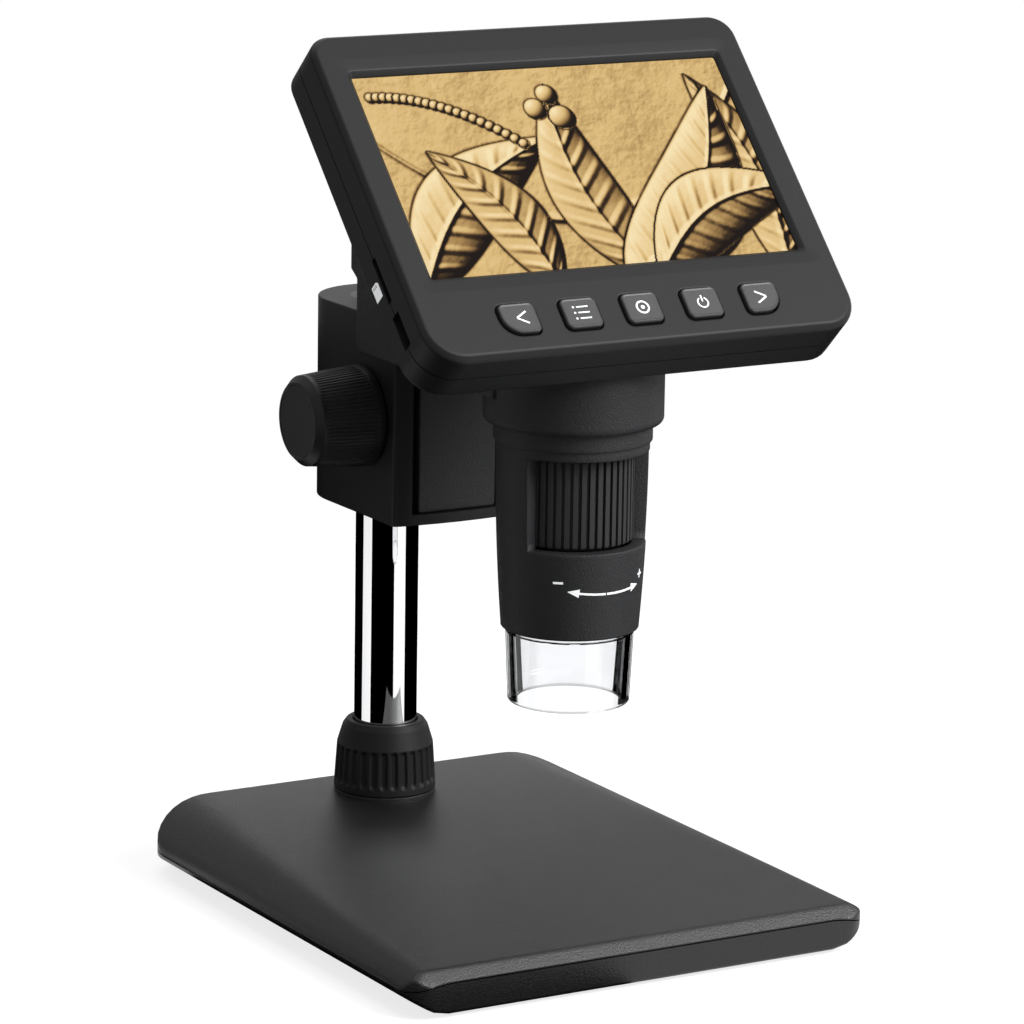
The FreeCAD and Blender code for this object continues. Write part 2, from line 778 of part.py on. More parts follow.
def key_form(index, n0, n1, inset):
    """Key outline: soft corners, and one long round at the outer lower corner of the end keys."""
    x = key_x(index)
    x0 = x - key_width / 2 + inset
    x1 = x + key_width / 2 - inset
    y0 = key_v - key_height / 2 + inset
    y1 = key_v + key_height / 2 - inset
    small = max(key_corner - inset, 0.3)
    left = max(key_end_corner - inset, 0.3) if index == 0 else small
    right = max(key_end_corner - inset, 0.3) if index == key_count - 1 else small
    k = 1 - math.sqrt(0.5)
    edges = [
        line(vec(x0 + left, y0, n0), vec(x1 - right, y0, n0)),
        arc(vec(x1 - right, y0, n0), vec(x1 - right * k, y0 + right * k, n0), vec(x1, y0 + right, n0)),
        line(vec(x1, y0 + right, n0), vec(x1, y1 - small, n0)),
        arc(vec(x1, y1 - small, n0), vec(x1 - small * k, y1 - small * k, n0), vec(x1 - small, y1, n0)),
        line(vec(x1 - small, y1, n0), vec(x0 + small, y1, n0)),
        arc(vec(x0 + small, y1, n0), vec(x0 + small * k, y1 - small * k, n0), vec(x0, y1 - small, n0)),
        line(vec(x0, y1 - small, n0), vec(x0, y0 + left, n0)),
        arc(vec(x0, y0 + left, n0), vec(x0 + left * k, y0 + left * k, n0), vec(x0 + left, y0, n0)),
    ]
    return prism(edges, vec(0, 0, n1 - n0))


def case_screw_places():
    low = housing_bottom + housing_wall + case_screw_low_rise
    high = housing_top - housing_wall - case_screw_high_drop
    rows = ((case_screw_low_x, low), (case_screw_high_x, high))
    return [(side * x, v) for x, v in rows for side in (-1, 1)]


def side_slots():
    """The card slot and the supply socket's opening, both on the line where the two covers meet."""
    slots = []
    for v, length, thick in ((card_slot_v, card_slot_length, card_slot_thickness),
                             (dc_slot_v, dc_slot_length, dc_slot_thickness)):
        x0 = -housing_half_width - 2
        x1 = socket_x
        slots.append(block(x0, x1, v - length / 2, v + length / 2, part_n - thick / 2, part_n + thick / 2))
    return joined(slots)


def screen_pieces():
    shoulder_n = face_n - face_chamfer
    front = housing_plate(part_n, shoulder_n, 0)
    front = front.fuse(housing_edge(shoulder_n, face_n, 0, face_chamfer))
    inner_n = face_n - lcd_drop - seat_gap
    front = front.cut(housing_plate(part_n - 1, inner_n, housing_wall))
    opening = block(-window_width / 2, window_width / 2, -window_height / 2, window_height / 2,
                    inner_n - 1, face_n + 1)
    front = front.cut(opening)
    half_w = window_width / 2
    half_h = window_height / 2
    bevel_wires = []
    for n, grow in ((face_n - lcd_drop + 0.7, 0.0), (face_n + 0.01, window_bevel)):
        corners = [vec(-half_w - grow, -half_h - grow, n), vec(half_w + grow, -half_h - grow, n),
                   vec(half_w + grow, half_h + grow, n), vec(-half_w - grow, half_h + grow, n)]
        bevel_wires.append(Part.makePolygon(corners + [corners[0]]))
    front = front.cut(Part.makeLoft(bevel_wires, True, True))
    for index in range(key_count):
        front = front.cut(key_form(index, inner_n - 1, face_n + 1, -key_gap))
    front = front.cut(side_slots())
    posts = [disc(case_boss_radius, inner_n + 0.5 - part_n, x, v, part_n) for x, v in case_screw_places()]
    front = joined([front] + [post.common(housing_plate(part_n, inner_n + 0.5, 0)) for post in posts])
    for x, v in case_screw_places():
        front = front.cut(disc(case_screw_radius, 5.0, x, v, part_n))
    save(to_screen(front), "front_bezel")

    back = housing_plate(back_n + back_chamfer, part_n - part_groove, 0)
    back = back.fuse(housing_edge(back_n, back_n + back_chamfer, back_chamfer, 0))
    back = back.fuse(housing_plate(part_n - part_groove - 0.1, part_n - fit, groove_depth))
    back = back.cut(housing_plate(back_n + housing_wall, part_n + 1, housing_wall))
    back = back.cut(block(-14, 14, -20, 6, back_n - 1, back_n + housing_wall + 1))
    back = back.cut(side_slots())
    post_height = part_n - seat_gap - back_n - 1
    posts = [disc(case_boss_radius, post_height, x, v, back_n + 1) for x, v in case_screw_places()]
    back = joined([back] + posts)
    for x, v in case_screw_places():
        back = back.cut(disc(case_screw_radius + ease, 20, x, v, back_n - 1))
        back = back.cut(disc(case_screw_head_radius + 0.2, case_screw_head + 0.4, x, v, back_n - 0.01))
    save(to_screen(back), "back_cover")

    screws = []
    for x, v in case_screw_places():
        head = disc(case_screw_head_radius, case_screw_head, x, v, back_n + 0.35)
        shank = disc(case_screw_radius - fit, part_n + 4.0 - back_n, x, v, back_n + 0.35)
        screws.append(head.fuse(shank))
    save(to_screen(Part.makeCompound(screws)), "housing_screws")

    lcd_n = face_n - lcd_drop - 0.2
    lcd = rounded_plate(-lcd_width / 2, lcd_width / 2, -lcd_height / 2 + lcd_shift, lcd_height / 2 + lcd_shift,
                        lcd_n - lcd_thickness, lcd_n, 1, 1)
    save(to_screen(lcd), "lcd_panel")
    board_and_sockets(lcd_n - lcd_thickness)
    for index in range(key_count):
        key = key_form(index, inner_n - 0.3, face_n + key_proud - 0.3, 0)
        crown = [key_form(index, face_n + key_proud - 0.3, face_n + key_proud, 0.3)]
        flange = key_form(index, inner_n - 0.1 - key_flange, inner_n - 0.1, -key_gap - 0.5)
        save(to_screen(joined([key, flange] + crown)), "key_" + str(index + 1))


def board_and_sockets(under_lcd):
    inner_n = face_n - lcd_drop - seat_gap
    top_n = board_n
    board_low = housing_bottom + housing_wall + board_low_gap
    plate = rounded_plate(-board_width / 2, board_width / 2, board_low, board_low + board_height,
                          top_n - board_thickness, top_n, 6, 2)
    for x, v in case_screw_places():
        plate = plate.cut(disc(case_boss_radius + 0.4, 10, x, v, top_n - 5))
    chips = [
        block(-12, 6, -8, 10, top_n - board_thickness - 1.4, top_n - board_thickness),
        block(14, 26, -4, 8, top_n - board_thickness - 1.2, top_n - board_thickness),
        block(-34, -26, 8, 14, top_n - board_thickness - 1.6, top_n - board_thickness),
    ]
    save(to_screen(joined([plate] + chips)), "main_board")
    half_foam = foam_width / 2
    spacer = [block(-foam_length / 2, foam_length / 2, v - half_foam, v + half_foam, top_n + fit, under_lcd - fit)
              for v in (-foam_place, foam_place)]
    save(to_screen(Part.makeCompound(spacer)), "lcd_foam_strips")

    switches = []
    stem_top = inner_n - seat_gap - key_flange - key_travel - key_stem_gap
    half = key_switch_size / 2
    for index in range(key_count):
        x = key_x(index)
        base = block(x - half, x + half, key_v - half, key_v + half, top_n, stem_top - key_stem_height)
        stem = disc(key_stem_radius, key_stem_height, x, key_v, stem_top - key_stem_height)
        switches.append(base.fuse(stem))
    save(to_screen(Part.makeCompound(switches)), "key_switches")

    edge_x = socket_x
    card_half = card_slot_length / 2 - card_play
    frame_half = card_slot_length / 2 + 3 * socket_wall
    card = block(edge_x, edge_x + card_socket_length, card_slot_v - frame_half, card_slot_v + frame_half,
                 top_n + fit, part_n + card_thickness / 2 + 2 * socket_wall)
    slot = block(edge_x - 1, edge_x + card_socket_depth, card_slot_v - card_half, card_slot_v + card_half,
                 part_n - card_thickness / 2, part_n + card_thickness / 2)
    save(to_screen(card.cut(slot)), "card_socket")
    half_v = dc_slot_length / 2 - 0.5
    half_n = dc_slot_thickness / 2 - 0.3
    jack = block(edge_x, edge_x + socket_depth, dc_slot_v - half_v, dc_slot_v + half_v,
                 part_n - half_n, part_n + half_n)
    wall = socket_wall
    hollow = block(edge_x - 1, edge_x + socket_depth - 4 * wall, dc_slot_v - half_v + wall,
                   dc_slot_v + half_v - wall, part_n - half_n + wall, part_n + half_n - wall)
    tongue = block(edge_x + 2 * wall, edge_x + socket_depth - 2 * wall, dc_slot_v - supply_tongue / 2,
                   dc_slot_v + supply_tongue / 2, part_n - wall, part_n + wall)
    save(to_screen(jack.cut(hollow).fuse(tongue)), "supply_socket")


def back_plane_y(v):
    lean = math.radians(screen_lean)
    return screen_centre_y + v * math.sin(lean) - back_n * math.cos(lean)


def back_plane_z(v):
    lean = math.radians(screen_lean)
    return screen_centre_z + v * math.cos(lean) + back_n * math.sin(lean)


def rear_outline(inset):
    """Side view of the rear body: flat underside, stepped back, sloped top, and the screen's back plane."""
    lean = math.radians(screen_lean)
    gap = seat_gap if inset == 0 else -2.0
    shift_y = gap * math.cos(lean)
    shift_z = -gap * math.sin(lean)
    low = rear_bottom + inset
    back = rear_back_y - inset
    hump_back = rear_back_y + rear_step - inset
    step_z = rear_bottom + rear_step_height + inset
    top_z = rear_bottom + rear_hump_height - inset
    top_v = rear_top_v - inset
    foot_v = (rear_front_y - screen_centre_y + back_n * math.cos(lean)) / math.sin(lean)
    x = -rear_half_width + inset
    points = [
        vec(x, rear_front_y, low),
        vec(x, back, low),
        vec(x, back, step_z - 1),
        vec(x, hump_back, step_z + 1),
        vec(x, hump_back, top_z - 6),
        vec(x, hump_back - 6, top_z),
        vec(x, back_plane_y(top_v) + shift_y, back_plane_z(top_v) + shift_z),
        vec(x, back_plane_y(foot_v) + shift_y, back_plane_z(foot_v) + shift_z),
    ]
    return polygon_prism(points, vec(2 * (rear_half_width - inset), 0, 0))


def rear_pieces():
    body = rear_outline(0)
    upright = [edge for edge in body.Edges
               if abs(abs(edge.BoundBox.XMin) - rear_half_width) < 0.01 and edge.BoundBox.XLength < 0.01
               and edge.BoundBox.YMin > rear_back_y - 20]
    body = body.makeFillet(rear_edge_radius, upright)
    body = body.cut(rear_outline(rear_wall))
    body = body.cut(disc(neck_radius + seat_gap, 80, 0, tube_y, rear_bottom - 1))
    for x, y in shelf_screw_places():
        boss = disc(3.2, 8.0, x, y, rear_bottom)
        body = body.fuse(boss).cut(disc(shelf_screw_radius, 6.0, x, y, rear_bottom - 0.5))
    save(body, "rear_body")

    y0 = tube_y + neck_radius + battery_setback
    tray_top = rear_bottom + rear_wall + battery_tray_height
    cell = block(-battery_width / 2, battery_width / 2, y0, y0 + battery_depth,
                 tray_top + seat_gap, tray_top + seat_gap + battery_height)
    save(cell.makeFillet(1.5, cell.Edges), "battery_cell")
    tray = block(-battery_width / 2, battery_width / 2, y0, y0 + battery_depth,
                 rear_bottom + rear_wall, tray_top)
    for x, y in shelf_screw_places():
        tray = tray.cut(disc(3.4, 10, x, y, rear_bottom))
    save(tray, "battery_tray")

    neck_height = back_plane_z(housing_top) - neck_bottom
    neck = ring(neck_radius, neck_radius - neck_wall, neck_height, 0, tube_y, neck_bottom)
    rim = [edge for edge in neck.Edges if edge.BoundBox.ZMax < neck_bottom + 0.01
           and edge.BoundBox.XLength > 2 * neck_radius - 1]
    neck = neck.makeFillet(neck_edge, rim)
    cover = housing_plate(back_n, back_n + cut_reach, -cut_side)
    neck = neck.cut(to_screen(cover))
    floor = ring(neck_radius - neck_wall, tube_top_radius - tube_wall, 2.0, 0, tube_y, neck_bottom + 1.5)
    save(neck.fuse(floor), "neck_ring")


def tube_outline(shift, z0, z1):
    """Turned form with the tube's faintly barrelled side, drawn in by shift."""
    mid_z = (tube_bottom + step_bottom) / 2
    bottom = vec(tube_bottom_radius - shift, 0, tube_bottom)
    middle = vec(tube_middle_radius - shift, 0, mid_z)
    top = vec(tube_top_radius - shift, 0, step_bottom)
    edges = [
        line(vec(0, 0, tube_bottom), bottom),
        arc(bottom, middle, top),
        line(top, vec(0, 0, step_bottom)),
        line(vec(0, 0, step_bottom), vec(0, 0, tube_bottom)),
    ]
    solid = Part.Face(Part.Wire(edges)).revolve(vec(0, 0, 0), vec(0, 0, 1), 360)
    solid.translate(vec(0, tube_y, 0))
    return solid.common(block(-30, 30, tube_y - 30, tube_y + 30, z0, z1))


def wedge_sector(half_angle, z0, z1, reach):
    """Sector of space about the tube's axis, centred on the front."""
    a = math.radians(half_angle)
    points = [vec(0, tube_y, z0)]
    steps = 6
    for i in range(steps + 1):
        angle = -a + 2 * a * i / steps
        points.append(vec(reach * math.sin(angle), tube_y - reach * math.cos(angle), z0))
    return polygon_prism(points, vec(0, 0, z1 - z0))


def tube_pieces():
    shell = tube_outline(0, tube_bottom, step_bottom)
    shell = shell.cut(tube_outline(tube_wall, tube_bottom + 2.0, step_bottom))
    shell = shell.cut(disc(cap_plug_radius + fit, 10, 0, tube_y, tube_bottom - 5))
    collar_top = neck_bottom + 1.4
    shell = shell.fuse(ring(step_radius, tube_top_radius - tube_wall, neck_bottom - 0.1 - step_bottom,
                            0, tube_y, step_bottom))
    neck_bore = neck_radius - neck_wall
    shell = shell.fuse(ring(neck_bore - fit, tube_top_radius - tube_wall, collar_top - neck_bottom + 0.1,
                            0, tube_y, neck_bottom - 0.1))
    window = wedge_sector(wheel_window_angle, wheel_window_bottom, wheel_window_top, cut_side)
    core = disc(wheel_inner_radius, wheel_window_top - wheel_window_bottom + 2, 0, tube_y, wheel_window_bottom - 1)
    shell = shell.cut(window.cut(core))
    save(shell, "tube_shell")

    wheel_z0 = wheel_window_bottom + wheel_end_gap
    wheel_z1 = wheel_window_top - wheel_end_gap
    inner_tube = tube_outline(tube_wall, wheel_z0, wheel_z1).BoundBox.XLength / 2
    wheel_radius = inner_tube - wheel_skin_gap
    wheel = ring(wheel_radius, wheel_inner_radius, wheel_z1 - wheel_z0, 0, tube_y, wheel_z0)
    cutters = []
    width = 2 * math.pi * wheel_radius / wheel_rib_count * 0.5
    for i in range(wheel_rib_count):
        cutter = Part.makeBox(wheel_rib_depth * 2, width, wheel_z1 - wheel_z0 + 2,
                              vec(wheel_radius - wheel_rib_depth, -width / 2, wheel_z0 - 1))
        cutter.rotate(vec(0, 0, 0), vec(0, 0, 1), i * 360.0 / wheel_rib_count)
        cutter.translate(vec(0, tube_y, 0))
        cutters.append(cutter)
    save(wheel.cut(Part.makeCompound(cutters)), "focus_wheel")

    rail = ring(rail_radius, rail_radius - rail_wall, rail_top - rail_bottom, 0, tube_y, rail_bottom)
    slot = block(-1.2, 1.2, tube_y, tube_y + 20, barrel_bottom - 4, barrel_bottom + barrel_length + 4)
    save(rail.cut(slot), "lens_guide")
    barrel = ring(barrel_radius, barrel_bore, barrel_length, 0, tube_y, barrel_bottom)
    lip, mid = [ring(barrel_bore + 0.1, barrel_bore - lens_lip, lens_lip, 0, tube_y, barrel_bottom + lift)
                for lift in (0, lens_pitch)]
    pin = disc(0.9, 2.3, 0, tube_y + barrel_radius - 0.3, barrel_bottom + barrel_length / 2, (0, 1, 0))
    save(joined([barrel, lip, mid, pin]), "lens_barrel")
    seats = [barrel_bottom + lift + lens_lip + fit for lift in (0, lens_pitch)]
    glasses = [disc(barrel_bore - fit, lens_thickness, 0, tube_y, z) for z in seats]
    save(Part.makeCompound(glasses), "lens_glasses")

    board = disc(sensor_board_radius, sensor_board_thickness, 0, tube_y, sensor_board_z)
    half = sensor_chip / 2
    chip = block(-half, half, tube_y - half, tube_y + half, sensor_board_z - 1.2, sensor_board_z)
    save(board.fuse(chip), "sensor_board")
    led_inner = tube_outline(tube_wall, led_board_z, led_board_z + 0.5).BoundBox.XLength / 2
    save(ring(led_inner - 0.15, led_board_bore, led_board_thickness, 0, tube_y, led_board_z), "led_board")
    lamps = []
    for i in range(led_count):
        angle = 2 * math.pi * (i + 0.5) / led_count
        lamps.append(disc(led_radius, led_height, led_circle * math.cos(angle),
                          tube_y + led_circle * math.sin(angle), led_board_z - led_height))
    save(Part.makeCompound(lamps), "led_lamps")


def cap_piece():
    cap = turned([
        (cap_top_radius - cap_wall, cap_seat - seat_gap),
        (cap_top_radius, cap_seat - seat_gap),
        (cap_bottom_radius, cap_bottom + 0.6),
        (cap_bottom_radius - 0.6, cap_bottom),
        (cap_bottom_radius - cap_wall, cap_bottom),
    ], 0, tube_y)
    plug = ring(cap_plug_radius, cap_top_radius - cap_wall - 0.9, cap_plug_height + 1, 0, tube_y, cap_seat - 1)
    save(cap.fuse(plug), "clear_cap")


base_shells()
base_insides()
column_pieces()
collar_pieces()
bracket_pieces()
drive_pieces()
clamp_pieces()
screen_pieces()
rear_pieces()
tube_pieces()
cap_piece()
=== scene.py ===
"""Looks of a desk microscope with its own screen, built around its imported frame.

Sizes are in millimetres and are scaled to metres when a mesh is made. The screen has a frame of its own: x
across, v up its face and n out of its face. Every new piece is a surface worked out from two parameters."""

import json
import math

import bmesh
import bpy
import numpy as np
from mathutils import Matrix, Vector
from mathutils.geometry import delaunay_2d_cdt


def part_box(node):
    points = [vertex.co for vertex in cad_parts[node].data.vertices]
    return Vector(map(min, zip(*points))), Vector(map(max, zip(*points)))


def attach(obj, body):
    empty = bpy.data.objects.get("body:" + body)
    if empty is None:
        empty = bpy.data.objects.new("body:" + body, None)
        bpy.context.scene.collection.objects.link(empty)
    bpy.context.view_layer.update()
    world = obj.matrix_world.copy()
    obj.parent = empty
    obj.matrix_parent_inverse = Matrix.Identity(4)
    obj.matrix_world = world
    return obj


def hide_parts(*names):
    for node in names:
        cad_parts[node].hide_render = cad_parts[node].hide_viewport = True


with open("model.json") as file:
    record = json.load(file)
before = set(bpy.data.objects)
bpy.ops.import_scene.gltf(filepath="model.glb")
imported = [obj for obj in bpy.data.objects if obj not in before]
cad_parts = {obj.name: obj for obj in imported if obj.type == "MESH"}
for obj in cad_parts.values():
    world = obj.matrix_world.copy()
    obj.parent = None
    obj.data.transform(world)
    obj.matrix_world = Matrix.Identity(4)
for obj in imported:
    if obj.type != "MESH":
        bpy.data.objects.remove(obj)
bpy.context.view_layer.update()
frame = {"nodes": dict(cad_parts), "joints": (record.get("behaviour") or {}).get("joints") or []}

MM = 0.001


def box_mm(node):
    """Lowest and highest corner of a node of the frame, in millimetres."""
    low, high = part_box(node)
    return np.array(low) / MM, np.array(high) / MM


# Places read from the frame
base_low, base_high = box_mm("base_bottom_shell")
column_low, column_high = box_mm("column_tube")
collar_low, collar_high = box_mm("collar_nut")
bracket_low, bracket_high = box_mm("bracket_body")
panel_low, panel_high = box_mm("bracket_front_panel")
knob_low, knob_high = box_mm("drive_knob_left")
clamp_low, clamp_high = box_mm("clamp_knob")
rear_low, rear_high = box_mm("rear_body")
neck_low, neck_high = box_mm("neck_ring")
tube_low = box_mm("tube_shell")[0]
wheel_low, wheel_high = box_mm("focus_wheel")
cap_low, cap_high = box_mm("clear_cap")
lcd_low, lcd_high = box_mm("lcd_panel")
bezel_high = box_mm("front_bezel")[1]
end_cap_high = box_mm("column_end_cap")[1]

column_centre = (column_low + column_high) / 2
tube_centre = (wheel_low + wheel_high) / 2
tube_y = tube_centre[1]
column_y = column_centre[1]

# The screen's frame
press = next(j for j in frame["joints"] if j["name"] == "key_1_press")["axis"]
SCREEN_UP = np.array([0.0, -press[2], press[1]])
SCREEN_OUT = -np.array(press, float)
LCD_SHIFT = -0.8
LCD_MIDDLE_N = -2.3
screen_origin = (lcd_low + lcd_high) / 2 - SCREEN_UP * LCD_SHIFT - SCREEN_OUT * LCD_MIDDLE_N


def from_screen(points):
    """Points (x, v, n) of the screen's frame in the object's frame."""
    points = np.asarray(points, float)
    across = points[..., 0:1] * np.array([1.0, 0.0, 0.0])
    return screen_origin + across + points[..., 1:2] * SCREEN_UP + points[..., 2:3] * SCREEN_OUT


# Outlines and surfaces

def rounded(corners, radii, closed=True, steps=5, hold=0.15):
    """Outline whose corners become arcs: each arc turns about the point that lies its radius from both sides.
    A point a little before and after each arc keeps the flat stretch beside it flat in shading."""
    corners = np.asarray(corners, float)
    radii = np.broadcast_to(np.asarray(radii, float), len(corners))
    count = len(corners)
    out = []
    for i, (corner, radius) in enumerate(zip(corners, radii)):
        if radius <= 0 or (not closed and i in (0, count - 1)):
            out.append(corner[None])
            continue
        a = corners[i - 1] - corner
        b = corners[(i + 1) % count] - corner
        a = a / np.linalg.norm(a)
        b = b / np.linalg.norm(b)
        half = 0.5 * math.acos(np.clip(a @ b, -1, 1))
        reach = radius / math.tan(half)
        centre = corner + (a + b) / np.linalg.norm(a + b) * radius / math.sin(half)
        start = corner + a * reach - centre
        end = corner + b * reach - centre
        sweep = math.pi - 2 * half
        t = np.linspace(0, 1, steps + 1)[:, None]
        arc = centre + (np.sin((1 - t) * sweep) * start + np.sin(t * sweep) * end) / math.sin(sweep)
        out += [(corner + a * (reach + hold))[None], arc, (corner + b * (reach + hold))[None]]
    return np.concatenate(out)


def rounded_box(x0, x1, y0, y1, radii, inset=0.0, steps=5):
    """Rectangle with its four corner radii (low left, low right, high right, high left), drawn in by
    inset."""
    radii = np.maximum(np.broadcast_to(np.asarray(radii, float), 4) - inset, 0.05)
    corners = [(x0 + inset, y0 + inset), (x1 - inset, y0 + inset), (x1 - inset, y1 - inset),
               (x0 + inset, y1 - inset)]
    return rounded(corners, radii, steps=steps)


def soft_rows(radius, top, hold=0.2, steps=5):
    """Rows (inset, level) of a quarter-round edge that ends flat at the level top."""
    t = np.linspace(0, math.pi / 2, steps + 1)
    rows = [(radius - radius * math.cos(a), top - radius + radius * math.sin(a)) for a in t]
    return [(0.0, top - radius - hold)] + rows + [(radius + hold, top)]


def shifted(outline, inset):
    """Closed outline moved inwards by inset along the mean normal of the two edges at each point."""
    ahead = np.roll(outline, -1, axis=0) - outline
    behind = outline - np.roll(outline, 1, axis=0)
    ahead = ahead / np.maximum(np.linalg.norm(ahead, axis=1, keepdims=True), 1e-9)
    behind = behind / np.maximum(np.linalg.norm(behind, axis=1, keepdims=True), 1e-9)
    mean = ahead + behind
    mean = mean / np.maximum(np.linalg.norm(mean, axis=1, keepdims=True), 1e-9)
    inward = np.stack([-mean[:, 1], mean[:, 0]], axis=1)
    stretch = np.clip(np.sum(mean * ahead, axis=1, keepdims=True), 0.5, 1.0)
    return outline + inward * inset / stretch


def grid_faces(rows, columns, wrap_rows=False, wrap_columns=True, offset=0):
    """Quads of a grid of points, rows by columns, as index rows."""
    i = np.arange(rows if wrap_rows else rows - 1)[:, None]
    j = np.arange(columns if wrap_columns else columns - 1)[None, :]
    i2 = (i + 1) % rows
    j2 = (j + 1) % columns
    quads = np.stack([i * columns + j, i * columns + j2, i2 * columns + j2, i2 * columns + j], axis=-1)
    return (quads.reshape(-1, 4) + offset).tolist()


def make_mesh(name, points, faces, smooth=42.0, weld=2e-4):
    """Mesh from points in millimetres and faces, welded, with its faces turned outwards."""
    mesh = bpy.data.meshes.new(name)
    mesh.from_pydata((np.asarray(points, float).reshape(-1, 3) * MM).tolist(), [], faces)
    build = bmesh.new()
    build.from_mesh(mesh)
    bmesh.ops.remove_doubles(build, verts=build.verts, dist=weld * MM * 10)
    bmesh.ops.recalc_face_normals(build, faces=build.faces)
    build.to_mesh(mesh)
    build.free()
    mesh.polygons.foreach_set("use_smooth", np.ones(len(mesh.polygons), bool))
    mesh.set_sharp_from_angle(angle=math.radians(smooth))
    return mesh


def piece(name, points, faces, body, finish, replaces=(), smooth=42.0):
    """A new piece that rides on a body of the frame, with its finish."""
    mesh = make_mesh(name, points, faces, smooth)
    mesh.materials.append(finish)
    made = bpy.data.objects.new(name, mesh)
    bpy.context.scene.collection.objects.link(made)
    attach(made, body)
    if replaces:
        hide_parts(*replaces)
    return made


def skin(rows, closed=False):
    """Points and faces of outlines stacked in rows, with flat ends, or closed into a ring when the rows
    return."""
    grid = np.stack(rows)
    count, columns = grid.shape[:2]
    faces = grid_faces(count, columns, wrap_rows=closed)
    if not closed:
        faces.append(list(range(columns))[::-1])
        faces.append([(count - 1) * columns + j for j in range(columns)])
    return grid.reshape(-1, 3), faces


def stacked(outline, rows):
    """Outline(inset) carried through rows of (inset, level), as points (x, y, level)."""
    made = []
    for inset, level in rows:
        flat = outline(inset)
        made.append(np.column_stack([flat, np.full(len(flat), level)]))
    return made


def lathe(profile, columns=160, relief=None):
    """Rows of a profile of (radius, height) turned about the upright axis: x and y are the radius times the
    cosine and sine of the angle. relief(angle, height, radius) adds to the radius."""
    angle = np.linspace(0, 2 * math.pi, columns, endpoint=False)[None, :]
    radius = np.asarray(profile, float)[:, 0:1] + 0 * angle
    height = np.asarray(profile, float)[:, 1:2] + 0 * angle
    if relief is not None:
        radius = radius + relief(angle, height, radius)
    return np.stack([radius * np.cos(angle), radius * np.sin(angle), height], axis=-1)


def lathe_skin(profile, columns=160, relief=None, ring=False):
    """Points and faces of a lathe: a ring when the profile is closed, else a form with flat or pointed
    ends."""
    grid = lathe(profile, columns, relief)
    return skin(list(grid), closed=ring)


def moved(points, x=0.0, y=0.0, z=0.0):
    return np.asarray(points) + np.array([x, y, z])


def upright_to_x(points, side):
    """Turns the upright axis to point along side * X."""
    points = np.asarray(points)
    return np.stack([side * points[..., 2], points[..., 1], -side * points[..., 0]], axis=-1)


def upright_to_y(points):
    """Turns the upright axis to point along Y."""
    points = np.asarray(points)
    return np.stack([points[..., 0], points[..., 2], -points[..., 1]], axis=-1)


def smooth_step(x, low, high):
    t = np.clip((np.asarray(x, float) - low) / (high - low), 0, 1)
    return t * t * (3 - 2 * t)


def both(first, second):
    """Two sets of points and faces as one."""
    shift = len(np.reshape(first[0], (-1, 3)))
    points = np.concatenate([np.reshape(first[0], (-1, 3)), np.reshape(second[0], (-1, 3))])
    return points, first[1] + [[i + shift for i in face] for face in second[1]]


# Finishes

def new_group(name, inputs, outputs):
    """Node group with named inputs (label, kind, value) and outputs (label, kind)."""
    group = bpy.data.node_groups.new(name, "ShaderNodeTree")
    for label, kind, value in inputs:
        socket = group.interface.new_socket(name=label, in_out="INPUT", socket_type=kind)
        socket.default_value = value
    for label, kind in outputs:
        group.interface.new_socket(name=label, in_out="OUTPUT", socket_type=kind)
    return group, group.nodes.new("NodeGroupInput"), group.nodes.new("NodeGroupOutput")


def math_node(tree, operation, a, b=None, clamp=False):
    """Math node whose inputs are values or sockets; returns its output."""
    node = tree.nodes.new("ShaderNodeMath")
    node.operation = operation
    node.use_clamp = clamp
    for socket, value in zip(node.inputs, (a, b)):
        if value is None:
            continue
        if isinstance(value, (int, float)):
            socket.default_value = value
        else:
            tree.links.new(value, socket)
    return node.outputs[0]


def noise(tree, vector, scale, detail=2.0, roughness=0.5, distortion=0.0):
    node = tree.nodes.new("ShaderNodeTexNoise")
    tree.links.new(vector, node.inputs["Vector"])
    for label, value in (("Scale", scale), ("Detail", detail), ("Roughness", roughness),
                         ("Distortion", distortion)):
        if isinstance(value, (int, float)):
            node.inputs[label].default_value = value
        else:
            tree.links.new(value, node.inputs[label])
    return node.outputs[0]


def mould_grain_group():
    """Fine cells of a textured mould, with a slow drift in tone and gloss as moulded plastic has."""
    group, start, end = new_group(
        "mould_grain",
        [("Cells per metre", "NodeSocketFloat", 3200.0), ("Depth", "NodeSocketFloat", 0.00003),
         ("Drift", "NodeSocketFloat", 0.3)],
        [("Tone", "NodeSocketFloat"), ("Gloss", "NodeSocketFloat"), ("Height", "NodeSocketFloat")])
    place = group.nodes.new("ShaderNodeTexCoord").outputs["Object"]
    fine = noise(group, place, start.outputs["Cells per metre"], 3.0, 0.62)
    broad = noise(group, place, 34.0, 2.0, 0.5)
    cloud = noise(group, place, 160.0, 2.0, 0.55)
    broad_share = math_node(group, "MULTIPLY", broad, 0.6)
    cloud_share = math_node(group, "MULTIPLY", cloud, 0.4)
    drift = math_node(group, "ADD", broad_share, cloud_share)
    drift = math_node(group, "MULTIPLY", math_node(group, "SUBTRACT", drift, 0.5), start.outputs["Drift"])
    speck = math_node(group, "MULTIPLY", math_node(group, "SUBTRACT", fine, 0.5), 0.35)
    tone = math_node(group, "ADD", math_node(group, "ADD", drift, speck), 0.5, clamp=True)
    group.links.new(tone, end.inputs["Tone"])
    gloss = math_node(group, "ADD", math_node(group, "MULTIPLY", drift, 1.6), 0.5, clamp=True)
    group.links.new(gloss, end.inputs["Gloss"])
    group.links.new(math_node(group, "MULTIPLY", fine, start.outputs["Depth"]), end.inputs["Height"])
    return group


